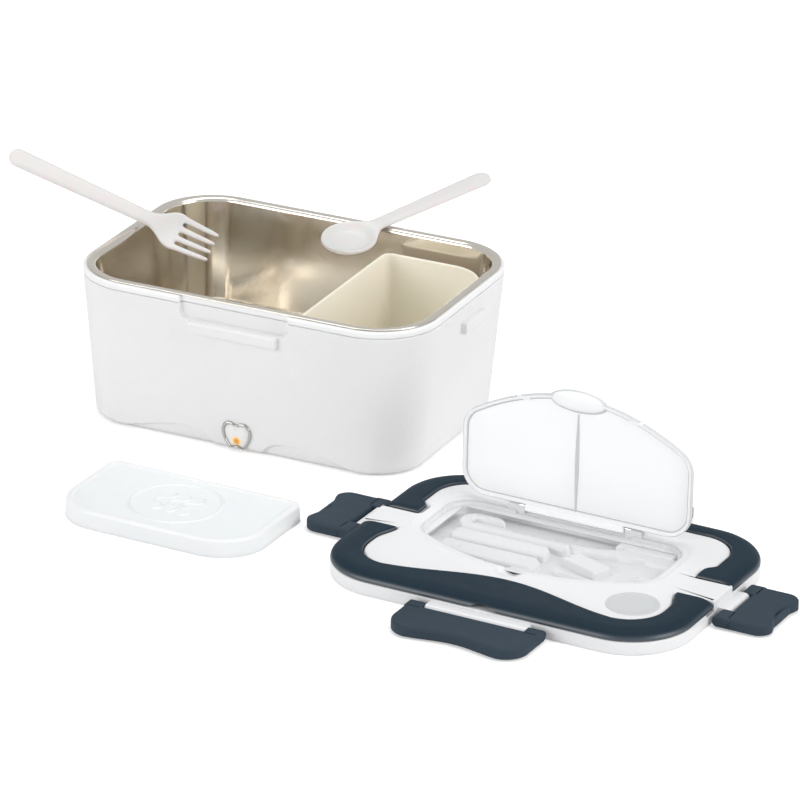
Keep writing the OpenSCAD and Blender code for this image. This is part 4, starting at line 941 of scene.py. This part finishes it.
# outer wall with a rounded foot, and the shelf that carries the bands; a pocket in the shelf lets
# each end of the handle turn on its pivot
knee_x, knee_y = lid_x - lid_r, lid_y - lid_r
rim_half = np.concatenate([
    np.linspace((0, -lid_y), (knee_x, -lid_y), 40)[:-1], arc(knee_x, -knee_y, lid_r, -90, 0, 28),
    np.linspace((lid_x, -knee_y), (lid_x, knee_y), 83)[1:-1], arc(knee_x, knee_y, lid_r, 0, 90, 28),
    np.linspace((knee_x, lid_y), (0, lid_y), 40)[1:]])
rim_line = both_halves(rim_half)
rim_way = side_ways(rim_line)
pocket_y, pocket_half, pocket_x = -16.6, 5.0, 78
rows = []
for inset, z, pocket_z in (
        (6.0, 6.6, 5.0), (3.0, 5.4, 4.8), (2.4, 3.0, 3.0), (2.2, 0.4, 0.4), (1.6, 0.0, 0.0),
        (0.7, 0.0, 0.0), (0.2, 0.25, 0.25), (0.0, 0.8, 0.8), (0.0, 3.0, 3.0), (0.0, 5.5, 5.0),
        (0.0, 7.2, 5.6), (0.08, 7.6, 5.7), (0.3, 7.9, 5.75), (0.7, 8.0, 5.7), (6.0, 8.0, 5.7),
        (22.5, 8.0, 5.7), (24.5, 8.0, 8.0), (36.0, 7.6, 7.6)):
    line = rim_line - rim_way * inset
    in_pocket = smooth((pocket_half - np.abs(line[:, 1] - pocket_y)) / 0.8 + 0.5)
    rows.append(level(line, z + (pocket_z - z) * in_pocket * (np.abs(line[:, 0]) > pocket_x)))
lid_parts.append(skin(rows))

# knuckles of the four latch hinges, each a barrel with the web that joins it to the wall
barrel = np.concatenate([arc(-latch_out, pin_z, 2.9, 88, 272, 15), [(1.5, 1.3), (1.5, 6.9)]])
for spot in latch_spots:
    bar = soft_bar(barrel, spot.shift - spot.lug / 2, spot.shift + spot.lug / 2, soft=0.4)
    lid_parts += laid([bar], turn=spot.turn, before=(0, -spot.away, 0))

# hinge blocks of the clear cover at both ends of the slot, and the slot's floor
block_y = comp_at[1] + comp_deep + 1.6
block = round_section([(block_y, 7.0), (hinge_y + 3.6, 7.0), (hinge_y + 3.6, 14.7), (block_y, 13.4)],
                      [0.3, 0.5, 2.4, 1.0], steps=8)
for s in (-1, 1):
    ends = sorted((comp_at[0] + s * (hinge_half + 0.2), comp_at[0] + s * (hinge_half + 11.0)))
    lid_parts.append(soft_bar(block, *ends, soft=0.8))
slot_y = comp_at[1] + comp_deep + 2.2
slot = round_section([(slot_y, 7.4), (hinge_y + 4.0, 7.4), (hinge_y + 4.0, 8.9), (slot_y, 8.9)], 0.2)
lid_parts.append(soft_bar(slot, comp_at[0] - hinge_half - 1.5, comp_at[0] + hinge_half + 1.5, soft=0.2))

lid_white = plastic("lid_satin_white", (0.80, 0.803, 0.81), 0.34, grain=1600, depth=0.12, drift=0.02)
piece("lid_white_part", laid(lid_parts, lid_at, lid_turn), lid_white, "lid", ["lid_shell"],
      sharp=45)


# ----------------------------------------
# Cutlery insert: vacuum-formed white tray under the opening, with long pads and a ledge that hold
# the fork's and the spoon's handles, and a hollow for the bowl. Drawn as heights over a grid.
insert_floor = 3.8
gx = np.linspace(comp_at[0] - 75, comp_at[0] + 75, 251)
gy = np.linspace(comp_at[1] - 39, comp_at[1] + 42, 136)
X, Y = np.meshgrid(gx, gy)
H = np.full(X.shape, insert_floor)


def box_away(cx, cy, hx, hy, r, turn=0.0):
    """Distance outward from a rounded rectangle, which may be turned; less than zero inside it."""
    c, s = math.cos(math.radians(turn)), math.sin(math.radians(turn))
    dx, dy = (X - cx) * c + (Y - cy) * s, -(X - cx) * s + (Y - cy) * c
    qx, qy = np.abs(dx) - hx + r, np.abs(dy) - hy + r
    return np.hypot(np.maximum(qx, 0), np.maximum(qy, 0)) + np.minimum(np.maximum(qx, qy), 0) - r


def form(top, *aways):
    """A form up to top, with drafted walls, where every one of its distances is below zero."""
    away = aways[0]
    for more in aways[1:]:
        away = np.maximum(away, more)
    return insert_floor + (top - insert_floor) * smooth(0.5 - away / 1.3)


# height, middle, half sizes, corner and turn of each plain form: the long ledge, the ridge in its
# groove, the slanted block, two ribs and three small stops
forms = [form(top, box_away(*box)) for top, *box in (
    (8.9, -29, 19.5, 34, 3.0, 2.8), (7.2, -46, 26.4, 12, 1.5, 1.4), (8.3, 22, 6.5, 13.5, 6.6, 1.5, -20),
    (6.6, 28, -9.5, 20, 1.6, 1.2, -7), (6.2, 32, -15.5, 17, 1.5, 1.2, -7), (8.3, 59, 3, 4.5, 3.6, 1.2),
    (7.8, -32, -19.5, 3, 2.5, 1.0), (7.8, 21, -21.5, 4, 2.5, 1.0))]
# the ledge's left end turned back round a groove, two pads with slanted right ends, the ledge that
# runs on to the right and swells round the bowl, the ledge behind it, and a round pad
swell_y = np.interp(X, [0, 10, 22, 34, 48, 62], [20, 19.5, 21.5, 26, 29, 27]) + 4.5
swell_half = np.interp(X, [0, 20, 40, 64], [3.0, 3.2, 7.0, 5.0])
forms += [form(8.9, box_away(-53, 26.2, 13.5, 9.6, 9.0), -box_away(-47, 26.4, 13.0, 3.6, 3.5), X + 36),
          form(8.7, box_away(-32, 8.4, 30, 6.0, 2.5), (X + 2) * 0.8 + (Y - 8) * 0.6 - 1),
          form(8.7, box_away(-31, -9.0, 31, 7.2, 2.5), X * 0.75 + (Y + 8) * 0.66 - 1),
          form(7.4, np.abs(Y - swell_y) - swell_half, 1 - X),
          form(8.4, np.abs(Y - 38) - 3.2, np.abs(X - 44) - 18),
          form(6.8, np.hypot(X + 6, Y + 25.5) - 12)]
for height in forms:
    H = np.maximum(H, height)
# bowl hollow and the compartment's own wall
H = H - 1.3 * smooth(1 - (((X - 45) / 15) ** 2 + ((Y - 9) / 10) ** 2)) * (H < insert_floor + 0.4)
flat = np.stack([X.ravel(), Y.ravel()], -1)
away = np.arctan2(flat[:, 1] - comp_at[1], flat[:, 0] - comp_at[0])
far = np.hypot(*(flat - comp_at).T)
round_a = np.linspace(-np.pi, np.pi, 721)
wall_far = np.interp(away, round_a, reach(comp_line(0.0), comp_at, round_a))
out_by = (far - wall_far).reshape(X.shape)
H = np.maximum(H, insert_floor + (rest_z - 0.1 - insert_floor) * smooth(out_by / 1.7 + 0.6))
in_slot = (np.abs(X - comp_at[0]) < hinge_half + 5.3) & (Y > comp_at[1] + comp_deep - 3.3)
H = np.where(in_slot, np.minimum(H, 8.4), H)
# the insert's white is darker than the lid's, painted shade that deepens the compartment and its hollows;
# its convex edges are painted paler, a painted highlight on the rims of its forms
insert_white = plastic("insert_painted_shade_white", (0.70, 0.703, 0.71), 0.3, grain=1400, depth=0.05, drift=0.02,
                       edge=0.5, tone=(0.88, 0.885, 0.89))
grid = skin(np.stack([X, Y, H], -1), ring=False)
insert = piece("insert", laid([grid], lid_at, lid_turn), insert_white, "lid", ["cutlery_insert"],
               sharp=75)
wall = insert.modifiers.new("wall", "SOLIDIFY")
wall.thickness = 0.0004
wall.offset = -1


# ----------------------------------------
# Slate bands on the lid: the front one is the carry handle, with round ends on its pivots and a
# finger notch under its front edge; the rear one is a fixed trim. Satin dark plastic.
band_low, band_gap = 8.3, 0.5
notch_half, notch_high = 12.0, 3.0


def along(line, count):
    """count points at even distances along an open line."""
    step = np.hypot(*np.diff(line, axis=0).T)
    s = np.concatenate([[0], np.cumsum(step)])
    want = np.linspace(0, s[-1], count)
    return np.stack([np.interp(want, s, line[:, 0]), np.interp(want, s, line[:, 1])], -1)


def band_rows(front):
    """Section rows of a band from its right end to its left: each runs from the inner foot over
    the top to the outer foot. Inner and outer lines are matched side, corner and long run."""
    sign = -1 if front else 1
    inner, outer = [line[line[:, 1] * sign > bridge + band_gap]
                    for line in (middle_half(band_gap, False), rim_half)]
    if front:
        inner, outer = inner[::-1], outer[::-1]
    first_y = sign * (bridge + band_gap)
    inner = np.concatenate([[(band_x + band_gap - draw_in(first_y), first_y)], inner])
    outer = np.concatenate([[(lid_x, first_y)], outer])
    if not front:
        inner[0, 0] = band_x + band_gap - flare
    pairs = []
    for line, side_end, corner_end in ((inner, abs(wave_y(band_x)) - 22 if front else 42.5, 69.0),
                                       (outer, lid_y - lid_r, lid_x - lid_r)):
        on_side = np.abs(line[:, 1]) <= side_end + 0.6
        on_run = line[:, 0] <= corner_end + 0.6
        side, run = line[on_side], line[on_run]
        knee = line[~on_side & ~on_run]
        knee = np.concatenate([side[-1:], knee, run[:1]])
        pairs.append(np.concatenate([along(side, 30)[:-1], along(knee, 26), along(run, 60)[1:]]))
    return pairs


def band_section(inner, outer, ends, notch):
    """Points across a band: a small round at the inner edge, a flat top, and an outer edge that
    falls as a quarter ellipse. ends is the distance from the band's end; below the height notch
    the outer edge is cut back to the ellipse's point at that height."""
    across = outer - inner
    wide = np.linalg.norm(across, axis=1)
    unit = across / wide[:, None]
    r_in, r_out, drop = 1.3, 8.8, 5.2
    flat_in, flat_out = r_in + 1.2, wide - r_out
    shape = [(0.25, band_low), (0.0, band_low + 0.3), (0.0, band_top - r_in)]
    shape += rounding(r_in, band_top, quarter[2::2]) + [(flat_in, band_top)]
    shape += [(between(flat_in, flat_out, k), band_top) for k in (0.35, 0.75)]
    shape += [(flat_out + r_out * math.sin(a), band_top - drop * (1 - math.cos(a)))
              for a in np.radians([0, 14, 28, 42, 56, 68, 78, 86, 90])]
    shape += [(wide, band_low + 0.3), (wide - 0.25, band_low)]
    turn = np.arccos(np.clip(1 - (band_top - notch) / drop, -1, 1))
    cut_back = flat_out + r_out * np.sin(turn)
    mid_z, end_r = 10.2, 2.6
    thick = 0.45 + 0.55 * np.sqrt(np.clip(1 - (1 - np.clip(ends / end_r, 0, 1)) ** 2, 0, 1))
    cols = []
    for off, z in shape:
        below = (z < notch) & (off > wide / 2)
        off = np.where(below, np.minimum(off, cut_back), off)
        z = mid_z + (np.where(below, notch, z) - mid_z) * thick
        cols.append(level(inner + unit * off[:, None], np.maximum(z, band_low)))
    return np.stack(cols, 1)


# the flat top is matt from the mould, and hands polish the rounded outer edge
slate = plastic("slate_satin", (0.017, 0.032, 0.047), 0.5, grain=2200, depth=0.1, drift=0.1, edge=0.02,
                Specular_IOR_Level=0.06, Coat_Roughness=0.42, Coat_IOR=1.75)
tree = slate.node_tree
at = add(tree, "ShaderNodeTexCoord")
slope = add(tree, "ShaderNodeSeparateXYZ")
polish = add(tree, "ShaderNodeMapRange", interpolation_type="SMOOTHSTEP",
             **{"From Min": 0.3, "From Max": 0.82, "To Min": 1.0, "To Max": 0.0})
link(tree, (at, "Normal", slope, 0), (slope, "Z", polish, "Value"),
     (polish, 0, tree.nodes["Principled BSDF"], "Coat Weight"))
for name, front, body, node in (("handle_band", True, "handle", "carry_handle"),
                                ("rear_band", False, "lid", "rear_trim")):
    inner, outer = [np.concatenate([half, (half * [-1, 1])[::-1][1:]]) for half in band_rows(front)]
    run = np.concatenate([[0], np.cumsum(np.hypot(*np.diff((inner + outer) / 2, axis=0).T))])
    ends = np.minimum(run, run[-1] - run)
    notch = np.full(len(inner), band_low)
    if front:
        x = np.clip(outer[:, 0], -notch_half, notch_half)
        notch += notch_high * np.cos(np.pi * x / (2 * notch_half)) ** 2
    band = skin(band_section(inner, outer, ends, notch), ends=True)
    piece(name, laid([band], lid_at, lid_turn), slate, body, [node], sharp=50)


# ----------------------------------------
# Latches: four slate flaps on steel pins, folded flat out on the table. Each has two ears on its
# pin beside the white knuckle, a wavy grip edge, and is hollow underneath.
latch_low, latch_top = 1.2, 7.2
latch_round = 1.7


def flap_line(half_l, far):
    """Plan of a flap: straight at the hinge, round outer corners, and an outer edge with a cosine
    wave of two lobes between them."""
    r, wave, period = 14.0 * half_l / 41, 4.6, 2 * half_l * 0.78
    root_y, root_r = -4.2, 2.4
    root_x, side_y = half_l - root_r, root_y - root_r
    xs = np.linspace(half_l - r, -half_l + r, 61)
    edge = -far + wave * (1 + np.cos(2 * np.pi * xs / period)) / 2
    return np.concatenate([
        np.linspace((-root_x, root_y), (root_x, root_y), 40), arc(root_x, side_y, root_r, 90, 0, 7)[1:],
        np.linspace((half_l, -8), (half_l, -far + r + 1), 10),
        arc(half_l - r, -far + r, r, 0, -90, 18)[:-1], np.stack([xs, edge], -1)[1:-1],
        arc(-half_l + r, -far + r, r, -90, -180, 18)[1:],
        np.linspace((-half_l, -far + r + 1), (-half_l, -8), 10),
        arc(-root_x, side_y, root_r, 180, 90, 7)[:-1]])[::-1]


slate_matte = plastic("slate_matte", (0.036, 0.054, 0.073), 0.6, grain=1300, depth=0.35, drift=0.1,
                      edge=0.02, Specular_IOR_Level=0.12)
ear = np.concatenate([[(-8.0, latch_top - 2.2), (-7.6, latch_top - 0.2), (-6.5, latch_top)],
                      arc(0, pin_z, 3.0, 90, -90, 13), [(-8.0, latch_low)]])
rib_y, rib_top = (-28.2, -26.2), latch_top - 1.2
rib = round_section([(rib_y[0], 1.4), (rib_y[1], 1.4), (rib_y[1], rib_top), (rib_y[0], rib_top)], 0.3)
for spot in latch_spots:
    line = flap_line(spot.half, spot.far)
    way = side_ways(line)
    mid = np.array([0.0, -spot.far / 2 - 2])
    side = [(1.8, latch_top - 2.0), (1.7, latch_low), (0.3, latch_low), (0.0, latch_low + 0.4),
            (0.0, latch_top - 1.8)]
    rows = shrunk(line - way * 1.8, (0.25, 0.6, 0.88), latch_top - 1.9, mid)
    rows += inset_rows(line, way, side + rounding(latch_round, latch_top))
    rows += shrunk(line - way * latch_round, (0.93, 0.75, 0.5, 0.25), latch_top, mid)
    ear_w = spot.half - spot.lug / 2 - 0.3
    hook = 26.0 if spot.half > 30 else 11.5
    parts = [skin(rows, ends=True), soft_bar(ear, -spot.half, -spot.half + ear_w, soft=0.6),
             soft_bar(ear, spot.half - ear_w, spot.half, soft=0.6), soft_bar(rib, -hook, hook, soft=0.3)]
    parts = laid(parts, turn=spot.turn, before=(spot.shift, -spot.away - latch_out, 0))
    piece(spot.side + "_latch_flap", laid(parts, lid_at, lid_turn), slate_matte, "latch_" + spot.side,
          [spot.side + "_latch"], sharp=50)


# ----------------------------------------
# Clear cover of the compartment: thin milky polypropylene, stood open on its hinge, with a raised
# rim, a stiffening rib, a thumb scoop in the free edge and two snap tabs.
cover_half, cover_tall, cover_t, cover_r = 71.5, 73.0, 1.6, 15.0
cover_knuckle, cover_sag = 2.4, 17.0
dish_half, dish_tall = 17.5, 6.5
cover_from = (comp_at[0], hinge_y - 0.6, hinge_z)


def cover_line(inset):
    """Outline of the cover in its own plane (right, up), straight at the hinge and arched at the
    free edge; inset shrinks it."""
    return bowed_line(cover_half - cover_r, cover_r + 1.5, cover_tall - cover_r, -cover_sag,
                      cover_r - inset, 25)


middle = np.array([0.0, 34.0])
angles = np.linspace(0, 2 * np.pi, 420, endpoint=False) + 0.0031
spin = toward(angles)


def cover_ring(inset, depth):
    """Row round the cover: right, out toward the front, up."""
    line = middle + reach(cover_line(inset), middle, angles)[:, None] * spin
    return np.column_stack([line[:, 0], np.full(len(line), float(depth)), line[:, 1]])


rim_w, rim_proud = 2.4, 1.5
front_face = [(0.0, 0.0), (0.1, -rim_proud * 0.6), (0.55, -rim_proud), (1.3, -rim_proud),
              (rim_w - 0.3, -rim_proud * 0.6), (rim_w, 0.1), (rim_w + 0.4, 0.3), (rim_w + 1.0, 0.0)]
back_face = [(0.05, 1.4), (0.5, cover_t), (rim_w, cover_t), (rim_w + 1.0, cover_t)]
rows = [cover_ring(i, d) for i, d in back_face[::-1]] + [cover_ring(i, d) for i, d in front_face]
centre = np.array([middle[0], 0.0, middle[1]])
fill = [centre + (rows[-1] - centre) * k for k in (0.8, 0.5, 0.2)]
rows = [row + [0, 1.1, 0] for row in fill[::-1]] + rows + fill
cover_parts = [skin(rows, ends=True)]
# rib, slimmer toward both ends
t = np.linspace(0, 1, 30)
rib_w = 0.3 + 1.1 * np.sin(np.pi * t) ** 0.8
rib = np.stack([np.column_stack([s * rib_w, np.full(30, -0.8 * h), 3 + 60 * t])
                for s, h in ((-1, -0.1), (-0.5, 0.9), (0.5, 0.9), (1, -0.1))], 1)
# scoop: a shallow dish pressed forward out of the free edge
u = np.linspace(0, 2 * np.pi, 48, endpoint=False)


def dish_row(k, depth):
    """An ellipse of the scoop, k times its full size, at a depth."""
    x, up = dish_half * k * np.cos(u), cover_tall - 2.5 + dish_tall * k * np.sin(u)
    return np.column_stack([x, np.broadcast_to(depth, len(u)), up])


dish = [dish_row(k, d) for k, d in ((1.0, 0.0), (0.96, -0.9), (0.85, -1.6), (0.6, -2.4), (0.3, -2.8))]
cover_parts.append(skin([row + [0, 1.3, 0] for row in dish[::-1]] + dish, ends=True))
for x in (-34.0, 36.0):
    z = cover_tall - cover_sag * (x / (cover_half - cover_r)) ** 2
    tab = round_section([(z - 1.6, x - 4), (z + 0.2, x - 4), (z + 0.2, x + 4), (z - 1.6, x + 4)], 0.5)
    part = soft_bar(tab, -1.4, 0.6, soft=0.3)
    cover_parts.append((part[0][:, [2, 0, 1]], part[1]))
tongue = round_section([(0.8, 2.6), (-1.6, 1.0), (-2.9, -0.7), (-2.8, -1.7), (-1.2, -1.4), (1.2, -0.6)],
                       0.4)
cover_parts.append(soft_bar(tongue, -hinge_half + 0.5, hinge_half - 0.5, soft=0.3))
barrel = np.concatenate([arc(0, 0, cover_knuckle, -60, 240, 19), [(-0.6, -3.0), (1.6, -3.0)]])
cover_parts.append(soft_bar(barrel * [1, -1], -hinge_half + 0.4, hinge_half - 0.4, soft=0.3))
# the cover's faint emission is a painted glow, standing in for light that comes through it from behind
clear_white = plastic("cover_milky_painted_glow", (0.95, 0.955, 0.96), 0.4, grain=500, depth=0.04, drift=0.01,
                      Transmission_Weight=0.2, IOR=1.4, Specular_IOR_Level=0.3,
                      Emission_Color=(1, 1, 1, 1), Emission_Strength=0.1)
piece("cover_panel", laid(cover_parts, lid_at, lid_turn, cover_from), clear_white, "cover",
      ["cutlery_cover"], sharp=50)

# painted shade: grey strips laid where the sheet is seen end on or is thicker, on both sides of
# the rim, on the rib, and on the scoop's lip, widest at its lowest point
outer_line = [(-0.08, 1.2), (-0.08, -0.1), (0.02, -1.0), (0.3, -1.45), (0.42, -1.36), (0.14, -0.9),
              (0.06, 0.0), (0.06, 1.2)]
inner_line = [(2.0, -1.05), (2.3, -0.25), (2.5, 0.1), (3.0, 0.1), (3.0, 0.4), (2.4, 0.4), (2.15, 0.0),
              (1.95, -0.8)]
edge_parts = [skin([cover_ring(i, d) for i, d in line], close=True) for line in (outer_line, inner_line)]
lip_w = 0.06 + 0.2 * np.clip(-np.sin(u), 0, 1) ** 1.5
lip = []
for part, off in ((0.0, -0.3), (0.5, -0.3), (1.0, -0.3), (1.0, 0.2), (0.0, 0.2)):
    k = 1.02 - lip_w * part
    lip.append(dish_row(k, np.interp(k, [0.6, 0.85, 0.96, 1.0], [-2.4, -1.6, -0.9, 0.0]) + off))
edge_parts += [skin(lip, close=True), skin(rib, ends=True)]
edge_painted_shade = plastic("cover_edge_painted_shade", (0.66, 0.67, 0.68), 0.35, grain=500, depth=0.04, drift=0.05)
piece("cover_edges", laid(edge_parts, lid_at, lid_turn, cover_from), edge_painted_shade, "cover", [],
      sharp=60)


# ----------------------------------------
# Vent plug: soft grey-white disc with a raised edge, pressed into its seat near the lid's front
# right corner. It is pulled out by hand to let the steam go.
vent_at, vent_r = (72.0, -38.0), 15.0
rim = toward(np.linspace(0, 2 * np.pi, 96, endpoint=False))
shape = [(0.3, 3.0), (0.55, 3.0), (0.58, 10.9), (0.98, 11.0), (1.0, 11.3), (1.0, 12.6), (0.985, 12.85),
         (0.95, 12.95), (0.9, 12.9), (0.87, 12.65), (0.84, 12.5), (0.6, 12.52), (0.3, 12.56)]
rows = [level(rim * vent_r * k + vent_at, z) for k, z in shape]
vent_grey = plastic("vent_soft_grey", (0.60, 0.605, 0.61), 0.45, grain=1500, depth=0.1, drift=0.03,
                    Subsurface_Weight=0.2, Subsurface_Scale=0.003)
piece("vent_disc", laid([skin(rows, ends=True)], lid_at, lid_turn), vent_grey, "vent", ["vent_plug"])


# ----------------------------------------
# Hidden and plain parts that keep their CAD shape: housing, bottom, feet, screws, heater, pins,
# seal and the power inlet. Each slot gets a finish with the same grain, gloss and wear.
for finish, nodes in (
        (plastic("housing_grey_white", (0.74, 0.74, 0.75), 0.45, depth=0.15),
         ("inner_housing", "bottom_cover", "lid_underside")),
        (plastic("feet_rubber", (0.12, 0.12, 0.125), 0.75, grain=1800, depth=0.5), ("rubber_feet",)),
        (plastic("seal_silicone", (0.6, 0.6, 0.61), 0.6, depth=0.2), ("lid_seal",)),
        (plastic("inlet_black", (0.02, 0.02, 0.022), 0.35, depth=0.2), ("inlet_housing",)),
        (plastic("thermostat_tan", (0.52, 0.36, 0.2), 0.5), ("thermostat",)),
        (plastic("element_ceramic", (0.75, 0.73, 0.68), 0.6, depth=0.4),
         ("heating_element", "thermal_fuse")),
        (plastic("wire_red", (0.5, 0.04, 0.03), 0.4), ("wiring",)),
        (plastic("board_green", (0.03, 0.22, 0.08), 0.35), ("lamp_board",)),
        (plastic("lamp_amber", (0.9, 0.4, 0.05), 0.2, Emission_Strength=1.0,
                 Emission_Color=(1.0, 0.4, 0.05, 1)), ("indicator_lamp",)),
        (metal("plate_aluminium", (0.78, 0.78, 0.79), 0.4, lines=0.3), ("heater_plate", "heat_shield")),
        (metal("pin_steel", (0.62, 0.62, 0.63), 0.25),
         ("cover_screws", "clamp_screws", "element_clamp", "inlet_pins", "handle_pins", "cover_pins",
          "latch_pins"))):
    for name in nodes:
        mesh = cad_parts[name].data
        if not mesh.materials:
            mesh.materials.append(finish)
        for k in range(len(mesh.materials)):
            mesh.materials[k] = finish
